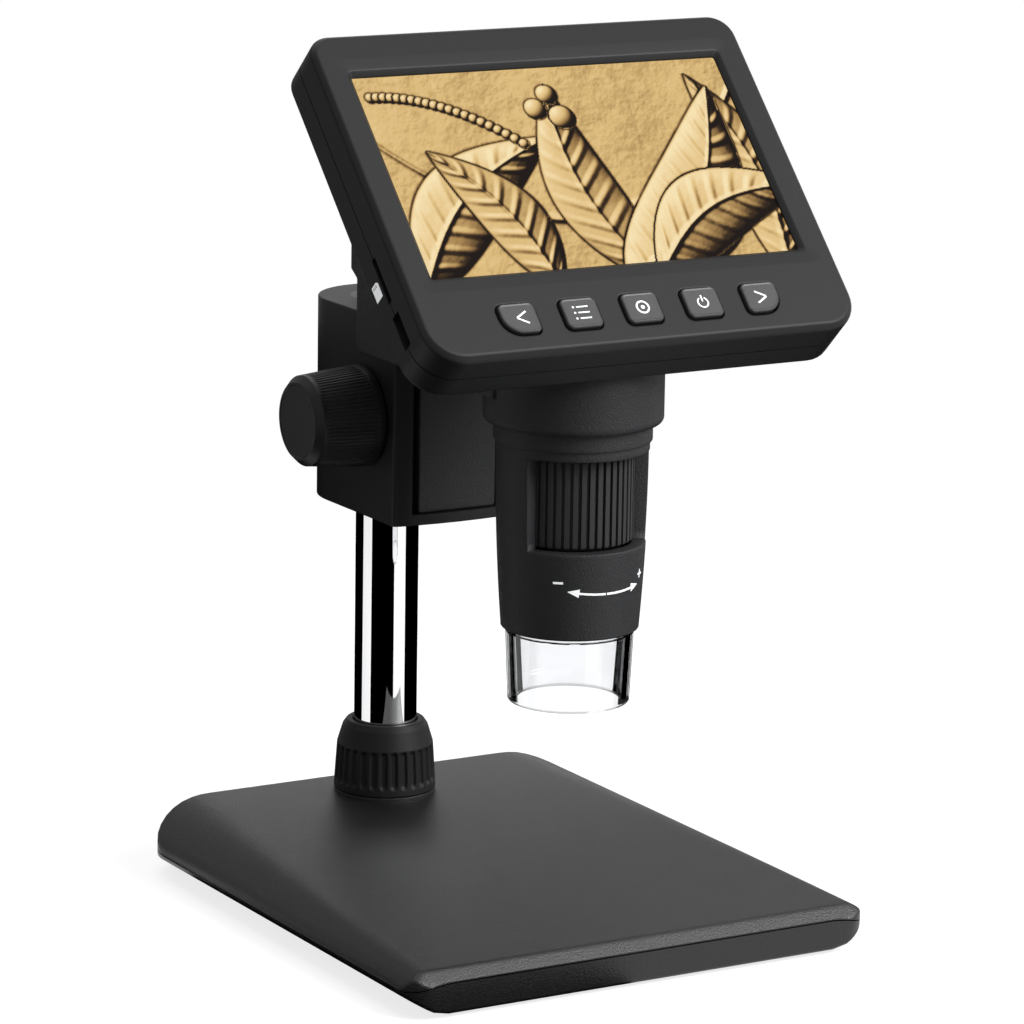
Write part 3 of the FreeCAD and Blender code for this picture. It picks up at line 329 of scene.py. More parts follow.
def painted_edge_highlight_group():
    """Mask of raised edges for a painted highlight that makes them lighter and a little glossier: it grows where
    the surface bends outwards, broken by noise."""
    group, start, end = new_group(
        "painted_edge_highlight",
        [("Reach", "NodeSocketFloat", 0.5)],
        [("Mask", "NodeSocketFloat")])
    geometry = group.nodes.new("ShaderNodeNewGeometry")
    place = group.nodes.new("ShaderNodeTexCoord").outputs["Object"]
    # Convex edges get the painted highlight: the mask grows with the outward bend.
    bend = math_node(group, "SUBTRACT", geometry.outputs["Pointiness"], 0.52)
    bend = math_node(group, "MULTIPLY", bend, 9.0, clamp=True)
    patch = math_node(group, "ADD", noise(group, place, 420.0, 2.0, 0.6), 0.25, clamp=True)
    painted_highlight = math_node(group, "MULTIPLY", bend, patch)
    group.links.new(math_node(group, "MULTIPLY", painted_highlight, start.outputs["Reach"], clamp=True),
                    end.inputs["Mask"])
    return group


def brushed_group():
    """Fine lines left by turning or drawing metal: noise stretched along one axis."""
    group, start, end = new_group(
        "drawn_lines",
        [("Along", "NodeSocketVector", (1.0, 1.0, 0.02)), ("Lines per metre", "NodeSocketFloat", 2600.0)],
        [("Tone", "NodeSocketFloat"), ("Height", "NodeSocketFloat")])
    place = group.nodes.new("ShaderNodeTexCoord").outputs["Object"]
    squeeze = group.nodes.new("ShaderNodeVectorMath")
    squeeze.operation = "MULTIPLY"
    group.links.new(place, squeeze.inputs[0])
    group.links.new(start.outputs["Along"], squeeze.inputs[1])
    lines = noise(group, squeeze.outputs[0], start.outputs["Lines per metre"], 2.0, 0.5)
    group.links.new(lines, end.inputs["Tone"])
    group.links.new(math_node(group, "MULTIPLY", lines, 0.000004), end.inputs["Height"])
    return group


GRAIN = mould_grain_group()
EDGE_HIGHLIGHT = painted_edge_highlight_group()
LINES = brushed_group()


def place_group(tree, group, **values):
    node = tree.nodes.new("ShaderNodeGroup")
    node.node_tree = group
    for label, value in values.items():
        node.inputs[label.replace("_", " ")].default_value = value
    return node


def new_material(name):
    material = bpy.data.materials.new(name)
    material.use_nodes = True
    return material, material.node_tree, material.node_tree.nodes["Principled BSDF"]


def mix_colour(tree, factor, dark, light):
    """Mix of two colours, each a colour or a socket."""
    node = tree.nodes.new("ShaderNodeMix")
    node.data_type = "RGBA"
    if isinstance(factor, (int, float)):
        node.inputs["Factor"].default_value = factor
    else:
        tree.links.new(factor, node.inputs["Factor"])
    for socket, value in ((node.inputs["A"], dark), (node.inputs["B"], light)):
        if isinstance(value, tuple):
            socket.default_value = (*value, 1.0)
        else:
            tree.links.new(value, socket)
    return node.outputs["Result"]


def spread(tree, value, low, high):
    """Value from 0 to 1 spread between low and high."""
    node = tree.nodes.new("ShaderNodeMapRange")
    tree.links.new(value, node.inputs["Value"])
    node.inputs["To Min"].default_value = low
    node.inputs["To Max"].default_value = high
    return node.outputs["Result"]


def bump(tree, shader, height, distance=1.0, strength=1.0):
    node = tree.nodes.new("ShaderNodeBump")
    node.inputs["Strength"].default_value = strength
    node.inputs["Distance"].default_value = distance
    tree.links.new(height, node.inputs["Height"])
    tree.links.new(node.outputs["Normal"], shader.inputs["Normal"])


def moulded(name, colour, rough, cells, depth, drift=0.3, specular=0.5, highlight_share=0.4):
    """Moulded plastic: tone, gloss and relief come from the mould's grain, and raised edges carry a painted
    highlight, lighter and a little glossier."""
    material, tree, shader = new_material(name)
    grain = place_group(tree, GRAIN, Cells_per_metre=cells, Depth=depth, Drift=drift)
    edge = place_group(tree, EDGE_HIGHLIGHT, Reach=highlight_share)
    dark = tuple(c * 0.72 for c in colour)
    light = tuple(c * 1.3 for c in colour)
    body = mix_colour(tree, grain.outputs["Tone"], dark, light)
    # Painted highlight: raised edges are painted lighter than the body.
    painted_highlight = tuple(min(1.0, c * 2.2 + 0.01) for c in colour)
    tree.links.new(mix_colour(tree, edge.outputs["Mask"], body, painted_highlight), shader.inputs["Base Color"])
    gloss = spread(tree, grain.outputs["Gloss"], rough - 0.07, rough + 0.07)
    edge_gloss = math_node(tree, "MULTIPLY", edge.outputs["Mask"], -0.12)
    tree.links.new(math_node(tree, "ADD", gloss, edge_gloss, clamp=True), shader.inputs["Roughness"])
    shader.inputs["Specular IOR Level"].default_value = specular
    bump(tree, shader, grain.outputs["Height"])
    return material


def metal(name, colour, rough, along=(1.0, 1.0, 0.02), lines=2600.0, spread_by=0.05, strength=1.0):
    """Bare or plated metal with faint drawn lines."""
    material, tree, shader = new_material(name)
    drawn = place_group(tree, LINES, Along=along, Lines_per_metre=lines)
    tree.links.new(mix_colour(tree, drawn.outputs["Tone"], tuple(c * 0.93 for c in colour), colour),
                   shader.inputs["Base Color"])
    tree.links.new(spread(tree, drawn.outputs["Tone"], rough, rough + spread_by), shader.inputs["Roughness"])
    shader.inputs["Metallic"].default_value = 1.0
    bump(tree, shader, drawn.outputs["Height"], strength=strength)
    return material


def clear_plastic(name):
    """Polished clear acrylic with the faintest haze in its gloss."""
    material, tree, shader = new_material(name)
    place = tree.nodes.new("ShaderNodeTexCoord").outputs["Object"]
    haze = noise(tree, place, 90.0, 2.0, 0.5)
    tree.links.new(mix_colour(tree, haze, (0.905, 0.912, 0.925), (0.93, 0.936, 0.946)),
                   shader.inputs["Base Color"])
    tree.links.new(spread(tree, haze, 0.0, 0.03), shader.inputs["Roughness"])
    shader.inputs["Transmission Weight"].default_value = 1.0
    shader.inputs["IOR"].default_value = 1.49
    return material


def coated_glass(name):
    """Lens glass: dark inside, with a faint green and violet coating."""
    material, tree, shader = new_material(name)
    place = tree.nodes.new("ShaderNodeTexCoord").outputs["Object"]
    tint = noise(tree, place, 120.0, 1.0, 0.5)
    tree.links.new(mix_colour(tree, tint, (0.02, 0.05, 0.045), (0.05, 0.03, 0.08)),
                   shader.inputs["Base Color"])
    tree.links.new(spread(tree, tint, 0.02, 0.05), shader.inputs["Roughness"])
    shader.inputs["Coat Weight"].default_value = 1.0
    shader.inputs["IOR"].default_value = 1.6
    return material


def picture_finish(name):
    """The lit picture: its colours are worked out with the mesh and shine through a smooth panel."""
    material, tree, shader = new_material(name)
    colour = tree.nodes.new("ShaderNodeVertexColor")
    colour.layer_name = "picture"
    place = tree.nodes.new("ShaderNodeTexCoord").outputs["Object"]
    cells = noise(tree, place, 2600.0, 2.0, 0.6)
    shade = spread(tree, cells, 0.93, 1.07)
    scaled = tree.nodes.new("ShaderNodeVectorMath")
    scaled.operation = "SCALE"
    tree.links.new(colour.outputs["Color"], scaled.inputs[0])
    tree.links.new(shade, scaled.inputs["Scale"])
    tree.links.new(scaled.outputs[0], shader.inputs["Emission Color"])
    shader.inputs["Emission Strength"].default_value = 1.0
    shader.inputs["Base Color"].default_value = (0.004, 0.004, 0.004, 1.0)
    tree.links.new(spread(tree, cells, 0.22, 0.28), shader.inputs["Roughness"])
    shader.inputs["Specular IOR Level"].default_value = 0.03
    return material


def printed(name, colour=(0.86, 0.87, 0.88), glow=0.3):
    """Pad-printed ink: nearly flat, with pinholes too fine to see singly, and a faint painted glow that keeps it
    bright in shade."""
    material, tree, shader = new_material(name)
    place = tree.nodes.new("ShaderNodeTexCoord").outputs["Object"]
    dots = noise(tree, place, 5200.0, 2.0, 0.6)
    tree.links.new(mix_colour(tree, dots, tuple(c * 0.9 for c in colour), colour),
                   shader.inputs["Base Color"])
    tree.links.new(spread(tree, dots, 0.42, 0.6), shader.inputs["Roughness"])
    tree.links.new(mix_colour(tree, dots, tuple(c * 0.9 for c in colour), colour),
                   shader.inputs["Emission Color"])
    # The ink glows a little: painted light that keeps the marks bright in shade.
    shader.inputs["Emission Strength"].default_value = glow
    return material


def circuit_board(name):
    """Green board: copper tracks under the lacquer, from a fine brick pattern, and pale pads."""
    material, tree, shader = new_material(name)
    place = tree.nodes.new("ShaderNodeTexCoord").outputs["Object"]
    tracks = tree.nodes.new("ShaderNodeTexBrick")
    tree.links.new(place, tracks.inputs["Vector"])
    tracks.inputs["Scale"].default_value = 240.0
    tracks.inputs["Mortar Size"].default_value = 0.06
    tracks.inputs["Color1"].default_value = (0.008, 0.075, 0.03, 1)
    tracks.inputs["Color2"].default_value = (0.012, 0.1, 0.04, 1)
    tracks.inputs["Mortar"].default_value = (0.03, 0.19, 0.07, 1)
    tree.links.new(tracks.outputs["Color"], shader.inputs["Base Color"])
    tree.links.new(spread(tree, noise(tree, place, 900.0), 0.3, 0.45), shader.inputs["Roughness"])
    bump(tree, shader, tracks.outputs["Fac"], 0.00003)
    return material


def lamp_resin(name):
    """Milky lamp resin, cloudy in tone, that gives a low white glow."""
    material, tree, shader = new_material(name)
    place = tree.nodes.new("ShaderNodeTexCoord").outputs["Object"]
    milk = noise(tree, place, 800.0)
    tree.links.new(mix_colour(tree, milk, (0.75, 0.74, 0.66), (0.9, 0.89, 0.84)), shader.inputs["Base Color"])
    tree.links.new(mix_colour(tree, milk, (0.8, 0.85, 0.95), (1.0, 1.0, 1.0)),
                   shader.inputs["Emission Color"])
    shader.inputs["Emission Strength"].default_value = 1.2
    tree.links.new(spread(tree, milk, 0.15, 0.3), shader.inputs["Roughness"])
    return material


shell_plastic = moulded("shell_plastic", (0.0098, 0.01, 0.0108), 0.48, 5200.0, 0.000014, 0.25, 0.2, 0.0)
grained_plastic = moulded("grained_plastic", (0.0175, 0.0178, 0.019), 0.48, 2400.0, 0.0002, 0.3, 0.25, 0.1)
stand_plastic = moulded("stand_plastic", (0.0065, 0.0067, 0.0072), 0.35, 2600.0, 0.00014, 0.35, 0.45, 0.0)
collar_plastic = moulded("collar_plastic", (0.0085, 0.0086, 0.0091), 0.5, 3000.0, 0.00006, 0.3, 0.2, 0.1)
bracket_plastic = moulded("bracket_plastic", (0.0085, 0.0086, 0.0091), 0.47, 4400.0, 0.00004, 0.3, 0.25, 0.0)
panel_plastic = moulded("panel_plastic", (0.0185, 0.0188, 0.020), 0.52, 2400.0, 0.00016, 0.6, 0.3, 0.0)
knob_plastic = moulded("knob_plastic", (0.012, 0.0121, 0.0127), 0.40, 5200.0, 0.00001, 0.3, 0.3, 0.1)
wheel_rubber = moulded("wheel_rubber", (0.024, 0.0243, 0.0255), 0.6, 2400.0, 0.0001, 0.5, 0.25, 0.1)
key_plastic = moulded("key_plastic", (0.022, 0.0222, 0.0235), 0.42, 5200.0, 0.00001, 0.3, 0.5)
rubber = moulded("rubber", (0.012, 0.012, 0.0125), 0.8, 2600.0, 0.00004, 0.4, 0.3)
nylon = moulded("nylon", (0.5, 0.48, 0.43), 0.45, 2200.0, 0.00001, 0.3)
board_chip = moulded("socket_plastic", (0.02, 0.02, 0.021), 0.5, 4200.0, 0.00001, 0.3)
foam = moulded("foam", (0.05, 0.05, 0.052), 0.9, 1500.0, 0.0002, 0.6, 0.2)
battery_wrap = moulded("battery_wrap", (0.12, 0.18, 0.32), 0.35, 1800.0, 0.00001, 0.4)
chrome = metal("chrome", (0.86, 0.865, 0.87), 0.015, lines=1400.0, spread_by=0.02, strength=0.08)
steel = metal("steel", (0.56, 0.56, 0.57), 0.25)
black_steel = metal("black_steel", (0.05, 0.05, 0.052), 0.35)
barrel_metal = metal("barrel_metal", (0.08, 0.08, 0.085), 0.3, along=(0.02, 0.02, 1.0))
clear_acrylic = clear_plastic("clear_acrylic")
lens_glass = coated_glass("lens_glass")
picture_light = picture_finish("picture_light")
white_ink = printed("white_ink")
dark_ink = printed("dark_ink", (0.05, 0.05, 0.05), 0.0)
board_green = circuit_board("board_green")
lamp_glow = lamp_resin("lamp_glow")

NODE_FINISH = {
    "base_ballast_plate": steel, "base_feet": rubber, "base_screws": steel, "column_foot_plug": steel,
    "column_bolt": steel, "column_washer": steel, "collar_collet": nylon, "guide_bushes": board_chip,
    "shaft_bushes": nylon, "shelf_screws": steel, "clamp_pad": nylon, "battery_cell": battery_wrap,
    "battery_tray": board_chip, "lens_guide": barrel_metal, "sensor_board": board_green,
    "led_board": board_green,
    "led_lamps": lamp_glow, "housing_screws": black_steel, "lcd_panel": board_chip, "lcd_foam_strips": foam,
    "main_board": board_green, "key_switches": board_chip, "card_socket": steel, "supply_socket": steel,
    "drive_shaft": steel, "roller_hub": nylon, "roller_tyre": rubber, "clamp_screw": steel,
    "lens_barrel": barrel_metal, "lens_glasses": lens_glass,
}


def finish_nodes():
    """Gives each node of the frame that still shows its finish."""
    for node, finish in NODE_FINISH.items():
        data = frame["nodes"][node].data
        data.materials.clear()
        data.materials.append(finish)


# Base

BASE_WIDTH = base_high[0] - base_low[0]
BASE_DEPTH = base_high[1] - base_low[1]
FRONT_HEIGHT = 10.6
BACK_HEIGHT = 16.1
RIM_HEIGHT = 6.0
CROWN = 16.3
SIDE_ARC = 34.0
RIM_ARC = 4.0
UNDER_INSET = 8.0
STRIP_DROP = 2.8
STRIP_DEPTH = 3.0
BACK_CORNER = 15.0
FRONT_CORNER = 6.0
BACK_BOW = 3.0
UNDER_Z = base_low[2]
GROOVE = 0.3
GROOVE_DEPTH = 0.9
BASE_SLOPE = (BACK_HEIGHT - FRONT_HEIGHT) / BASE_DEPTH


def base_outline(inset):
    """Plan of the base: straight front and sides, two round back corners and a back that bows out on one
    arc."""
    half_x = BASE_WIDTH / 2 - inset
    front = -BASE_DEPTH / 2 + inset
    back = BASE_DEPTH / 2 - inset
    bow = BACK_BOW * max(0.0, 1 - inset / 30)
    steps = 40
    side_steps = np.linspace(0.0, 1.0, 30)[1:-1, None]
    outline = rounded([(-half_x, front), (half_x, front), (half_x, back - bow), (-half_x, back - bow)],
                      [max(FRONT_CORNER - inset, 0.1), max(FRONT_CORNER - inset, 0.1),
                       max(BACK_CORNER - inset, 0.1), max(BACK_CORNER - inset, 0.1)], steps=8)
    per = len(outline) // 4
    front_run = outline[per - 1] * (1 - side_steps) + outline[per] * side_steps
    right_run = outline[2 * per - 1] * (1 - side_steps) + outline[2 * per] * side_steps
    share = np.linspace(0.0, 1.0, steps)[1:-1, None]
    back_run = outline[3 * per - 1] * (1 - share) + outline[3 * per] * share
    back_run[:, 1] += bow * 4 * (share * (1 - share))[:, 0]
    left_run = outline[4 * per - 1] * (1 - side_steps) + outline[0] * side_steps
    return np.concatenate([outline[:per], front_run, outline[per:2 * per], right_run,
                           outline[2 * per:3 * per], back_run, outline[3 * per:], left_run])


def side_height(x):
    """Height of the end view: a flat crown, a long arc down each side and a small arc at the rim."""
    half_x = BASE_WIDTH / 2
    centre_z = CROWN - SIDE_ARC
    rise = RIM_HEIGHT - centre_z
    run = math.sqrt((SIDE_ARC - RIM_ARC) ** 2 - rise ** 2)
    flat = half_x - RIM_ARC - run
    meet = flat + run * SIDE_ARC / (SIDE_ARC - RIM_ARC)
    out = np.maximum(np.abs(x) - flat, 0)
    big = centre_z + np.sqrt(np.maximum(SIDE_ARC ** 2 - out ** 2, 0))
    small = RIM_HEIGHT + np.sqrt(np.maximum(RIM_ARC ** 2 - (np.abs(x) - (half_x - RIM_ARC)) ** 2, 0))
    return np.where(np.abs(x) > meet, small, big)


def soft_min(a, b, blend):
    """The lower of two heights, with their crossing rounded over the blend."""
    near = np.clip(0.5 + 0.5 * (b - a) / blend, 0, 1)
    return b * (1 - near) + a * near - blend * near * (1 - near)


def top_height(x, y):
    plane = FRONT_HEIGHT + BASE_SLOPE * (y + BASE_DEPTH / 2)
    height = soft_min(plane, side_height(x), 0.7)
    front = plane + (y + BASE_DEPTH / 2 - STRIP_DEPTH) * STRIP_DROP / STRIP_DEPTH
    back = plane + (BASE_DEPTH / 2 - y - STRIP_DEPTH) * STRIP_DROP / STRIP_DEPTH
    return soft_min(soft_min(height, front, 0.55), back, 0.55)


def part_line(x):
    """Height of the line where the two shells meet: level in the middle, falling to the rim near each
    side."""
    middle = FRONT_HEIGHT - STRIP_DROP
    shoulder = BASE_WIDTH / 2 - UNDER_INSET
    share = np.clip((np.abs(x) - shoulder) / UNDER_INSET, 0, 1)
    return middle + (RIM_HEIGHT - middle) * share


def under_height(x):
    """Height of the underside: flat, with a slope rising to the rim at each side."""
    out = np.clip((np.abs(x) - (BASE_WIDTH / 2 - UNDER_INSET)) / UNDER_INSET, 0, 1)
    return UNDER_Z + (RIM_HEIGHT - UNDER_Z - 0.9) * out ** 1.2


def edge_drop(inset, radius):
    """Fall of a quarter-round edge at a distance inset from the outline."""
    inside = np.minimum(inset, radius)
    return radius - math.sqrt(max(radius ** 2 - (radius - inside) ** 2, 0))


def base_pieces():
    edge = 0.5
    insets = [0.0, 0.06, 0.14, 0.25, 0.38, 0.5, 0.8, 1.2, 1.7, 2.2, 2.6, 3.0, 3.4, 3.9, 4.6, 5.5, 6.6, 8, 10,
              12.5,
              15.5, 19, 23, 28, 34, 41, 49, 57]
    rim = base_outline(0.0)
    rows = []

    def row(inset, height):
        flat = base_outline(inset)
        rows.append(np.column_stack([flat, height(flat[:, 0], flat[:, 1])]))

    def over(inset, drop):
        return lambda x, y: np.maximum(top_height(x, y) - drop, part_line(x) + GROOVE + 0.05)

    row(GROOVE_DEPTH, lambda x, y: part_line(x) + GROOVE)
    row(0.0, lambda x, y: part_line(x) + GROOVE)
    for inset in insets:
        row(inset, over(inset, edge_drop(inset, edge)))
    points, faces = skin(rows)
    piece("base_cover", points, faces, "stand", stand_plastic, ("base_top_shell",),
          smooth=60)

    rows = []
    row(GROOVE_DEPTH, lambda x, y: part_line(x))
    for inset in (0.0, 0.001):
        row(inset, lambda x, y: part_line(x) - (0.0 if inset == 0 else 0.15))
    for inset in [0.0, 0.05, 0.15, 0.3, 0.5, 0.75, 1.0, 1.4, 2, 3, 4.5, 6, 8, 8.4, 12, 20, 35, 57]:
        row(inset, lambda x, y: np.minimum(under_height(x) + edge_drop(inset, 1.0), part_line(x) - 0.2))
    points, faces = skin(rows)
    piece("base_tray", points, faces, "stand", stand_plastic, ("base_bottom_shell",),
          smooth=60)

    boss_radius = (collar_high[0] - collar_low[0]) / 2
    boss_top = collar_low[2] - 0.1
    profile = rounded([(0, 9.0), (boss_radius, 9.0), (boss_radius, boss_top), (0, boss_top)], [0, 0, 0.15, 0],
                      closed=False, steps=3, hold=0.05)
    points, faces = lathe_skin(profile, 128)
    piece("column_boss", moved(points, 0, column_y, 0), faces, "stand", stand_plastic, ())


# Column, collar and end cap

def column_pieces():
    radius = (column_high[0] - column_low[0]) / 2
    inner = radius - 1.4
    z0, z1 = column_low[2], column_high[2]
    levels = np.linspace(z0 + 0.5, z1 - 0.5, 24)
    profile = [(inner, z0), (radius - 0.3, z0), (radius, z0 + 0.3)] + [(radius, z) for z in levels]
    profile += [(radius, z1 - 0.3), (radius - 0.3, z1), (inner, z1)]
    points, faces = lathe_skin(profile, 224, ring=True)
    piece("column", moved(points, 0, column_y, 0), faces, "stand", chrome, ("column_tube",))

    z2 = end_cap_high[2]
    profile = rounded([(0, z1 - 8), (inner - 0.05, z1 - 8), (inner - 0.05, z1), (radius, z1), (radius, z2),
                       (0, z2)],
                      [0, 0.4, 0, 0.2, 1.0, 0], closed=False, steps=6, hold=0.1)
    points, faces = lathe_skin(profile, 128)
    piece("column_cap", moved(points, 0, column_y, 0), faces, "stand", grained_plastic, ("column_end_cap",))


FLUTES = 30


def collar_relief(z0):
    """Flutes pressed into the collar: each is the space within a set distance of an upright stretch, so its
    ends are round, and its depth grows smoothly from its edge."""
    low, high, half, depth = z0 + 2.9, z0 + 10.3, 0.78, 0.6

    def relief(angle, height, radius):
        pitch = 2 * math.pi / FLUTES
        across = (np.mod(angle + pitch / 2, pitch) - pitch / 2) * radius
        up = np.maximum(np.maximum(low - height, height - high), 0)
        distance = np.sqrt(across ** 2 + up ** 2)
        facing = smooth_step(radius, 10.9, 11.4)
        return -depth * (1 - smooth_step(distance, half - 0.32, half + 0.22)) * facing
    return relief


def collar_piece():
    z = collar_low[2]
    radius = (collar_high[0] - collar_low[0]) / 2
    top = collar_high[2]
    bore = (column_high[0] - column_low[0]) / 2 + 0.3
    outer = rounded([(10.3, z), (radius, z), (radius - 0.05, z + 1.3), (radius - 0.75, z + 11.5),
                     (radius - 2.1, top - 1.4), (radius - 3.1, top), (bore, top), (bore, top - 1.6),
                     (10.3, z + 12.8)],
                    [0.0, 0.35, 0.3, 0.7, 0.9, 0.5, 0.3, 0, 0], closed=True, steps=5, hold=0.12)
    fine = []
    for a, b in zip(outer, np.roll(outer, -1, axis=0)):
        parts = max(1, int(np.linalg.norm(b - a) / 0.35)) if a[0] > 11 and b[0] > 11 else 1
        t = np.linspace(0, 1, parts, endpoint=False)[:, None]
        fine.append(a * (1 - t) + b * t)
    points, faces = lathe_skin(np.concatenate(fine), FLUTES * 16, collar_relief(z), ring=True)
    piece("collar_ring", moved(points, 0, column_y, 0), faces, "collar", collar_plastic, ("collar_nut",),
          smooth=50)


# Bracket

SHELF_TOP = bracket_low[2] + 40.6
FRONT_BOW = 1.4
PANEL_HALF = 10.5
PANEL_GROOVE = 2.2
TOWER_REACH = 19.0


def bracket_outline(inset, front, bow, depth, steps=28):
    """Plan of the bracket: a half circle behind the column, flat sides and a bowed front with a recess of a
    depth."""
    radius = (bracket_high[0] - bracket_low[0]) / 2 - inset
    front = front + inset
    corner = 0.9
    side = rounded([(radius, column_y), (radius, front), (0, front)], [0, corner, 0], closed=False, steps=5)
    half_recess = PANEL_HALF + PANEL_GROOVE
    marks = np.array([radius - corner - 0.5, half_recess + 0.3, half_recess + 0.02, half_recess - 0.02,
                      half_recess - 0.3, 6.0, 0.0])
    xs = np.concatenate([marks, -marks[::-1][1:]])
    inside = (np.abs(xs) < half_recess).astype(float)
    arc_drop = bow * (1 - (xs / (radius + inset)) ** 2)
    ys = front - arc_drop + inside * depth
    right = side[:-1]
    left = right[::-1] * np.array([-1, 1])
    t = np.linspace(0, math.pi, steps + 1)[1:-1]
    back = np.column_stack([-radius * np.cos(t), column_y + radius * np.sin(t)])
    return np.concatenate([right, np.column_stack([xs, ys]), left, back])


BUSH_RADIUS = 9.6
bush_height = 8.0


def bored(rows, bore):
    """Rows of outlines with flat ends, and a bore about the column through rows of (radius, height)."""
    grid = np.stack(rows)
    count, columns = grid.shape[:2]
    first = count * columns
    angle = np.linspace(0, 2 * math.pi, 96, endpoint=False)
    rings = np.stack([np.column_stack([r * np.cos(angle), column_y + r * np.sin(angle), np.full(96, z)])
                      for r, z in bore])
    last = first + (len(bore) - 1) * 96
    faces = grid_faces(count, columns) + grid_faces(len(bore), 96, offset=first)
    faces += flat_face([grid[0, :, :2], rings[0, :, :2]], [0, first])
    faces += flat_face([grid[-1, :, :2], rings[-1, :, :2]], [(count - 1) * columns, last])
    return np.concatenate([grid.reshape(-1, 3), rings.reshape(-1, 3)]), faces


def bracket_pieces():
    z0, z2 = bracket_low[2], bracket_high[2]
    front = bracket_low[1] + FRONT_BOW
    panel_z0, panel_z1 = panel_low[2] - 0.1, panel_high[2] + 0.1
    recess = 3.5
    soft = 0.35
    rows = []
    for inset, level in [(soft + 0.3, z0)] + [(soft - soft * math.sin(a), z0 + soft - soft * math.cos(a))
                                              for a in np.linspace(0, math.pi / 2, 5)] + [(0, z0 + soft + 0.15)]:
        rows.append((inset, level, 0.0))
    rows += [(0, panel_z0 - 0.02, 0.0), (0, panel_z0, recess), (0, panel_z0 + 0.3, recess),
             (0, panel_z1 - 0.3, recess),
             (0, panel_z1, recess), (0, panel_z1 + 0.02, 0.0)]
    rows += [(inset, level, 0.0) for inset, level in soft_rows(soft, SHELF_TOP, 0.15)]
    grid = []
    for inset, level, depth in rows:
        flat = bracket_outline(inset, front, FRONT_BOW, depth)
        grid.append(np.column_stack([flat, np.full(len(flat), level)]))
    wide, narrow, seat = BUSH_RADIUS, BUSH_RADIUS - 1.05, bush_height
    low = bored(grid, [(wide, z0), (wide, z0 + seat), (narrow, z0 + seat), (narrow, SHELF_TOP)])
    tower_front = column_y - TOWER_REACH
    grid = []
    for inset, level in [(0, SHELF_TOP - 0.4)] + soft_rows(0.35, z2, 0.2):
        flat = bracket_outline(inset, tower_front, 0.0, 0.0)
        grid.append(np.column_stack([flat, np.full(len(flat), level)]))
    points, faces = both(low, bored(grid, [(narrow, SHELF_TOP - 0.4), (narrow, z2 - seat), (wide, z2 - seat),
                                           (wide, z2)]))
    piece("bracket_block", points, faces, "head", bracket_plastic, ("bracket_body",))

    half = PANEL_HALF
    y = panel_low[1]
    thick = panel_high[1] - panel_low[1]
    height = panel_high[2] - panel_low[2]

    def outline(inset):
        return rounded_box(-half, half, 0, height, 0.8, inset, steps=4)
    rows = stacked(outline, [(0.0, 0.0)] + soft_rows(0.35, thick, 0.2, 4))
    points, faces = skin(rows)
    placed = np.stack([points[:, 0], y + thick - points[:, 2], panel_low[2] + points[:, 1]], axis=-1)
    piece("bracket_panel", placed, faces, "head", panel_plastic, ("bracket_front_panel",))


# Knobs

KNOB_RIBS = 76


def knob_profile(length):
    root, tip, face = 12.25, 10.9, 9.3
    return rounded([(3.0, 0.0), (root, 0.0), (root, 1.3), (tip, length - 1.7), (face, length),
                    (face - 0.5, length),
                    (face - 0.7, length - 0.2), (0.0, length - 0.2)],
                   [0, 0.35, 0.4, 0.25, 0.2, 0.05, 0.05, 0], closed=False, steps=4, hold=0.05)


def knob_relief(length):
    """Fine ribs that run along the knob, between a plain band at its root and its bevelled tip."""
    def relief(angle, height, radius):
        wave = 0.5 + 0.5 * np.cos(angle * KNOB_RIBS)
        band = smooth_step(height, 1.9, 2.3) * (1 - smooth_step(height, length - 3.0, length - 2.5))
        return -0.2 * smooth_step(wave, 0.2, 0.8) * band
    return relief


def drive_knobs():
    length = knob_high[0] - knob_low[0]
    y, z = (knob_low[1:] + knob_high[1:]) / 2
    profile = knob_profile(length)
    extra = []
    for a, b in zip(profile[:-1], profile[1:]):
        parts = max(1, int(abs(b[1] - a[1]) / 0.4))
        t = np.linspace(0, 1, parts, endpoint=False)[:, None]
        extra.append(a * (1 - t) + b * t)
    profile = np.concatenate(extra + [profile[-1:]])
    points, faces = lathe_skin(profile, KNOB_RIBS * 8, knob_relief(length))
    for side, name, node in ((-1, "left_knob", "drive_knob_left"), (1, "right_knob", "drive_knob_right")):
        low, high = box_mm(node)
        start = high[0] if side < 0 else low[0]
        placed = moved(upright_to_x(points, side), start, y, z)
        piece(name, placed, faces, "drive", knob_plastic, (node,), smooth=35)


def clamp_piece():
    """Clamp knob: a disc with scalloped sides and a shallow dish in its face."""
    radius = (clamp_high[0] - clamp_low[0]) / 2
    length = clamp_high[1] - clamp_low[1]
    lobes = 16
    profile = rounded([(2.5, 0), (radius, 0), (radius, length), (radius * 0.68, length),
                       (radius * 0.6, length - 0.5),
                       (0, length - 0.5)], [0, 0.5, 0.8, 0.2, 0.2, 0], closed=False, steps=5, hold=0.1)

    def relief(angle, height, reach):
        valley = smooth_step(np.cos(angle * lobes), 0.1, 1.0)
        return -0.55 * valley * smooth_step(reach, radius * 0.75, radius * 0.95)
    points, faces = lathe_skin(profile, lobes * 14, relief)
    z = (clamp_low[2] + clamp_high[2]) / 2
    placed = moved(upright_to_y(points), 0, clamp_low[1], z)
    piece("rear_clamp", placed, faces, "clamp", knob_plastic, ("clamp_knob",), smooth=40)


# Screen housing

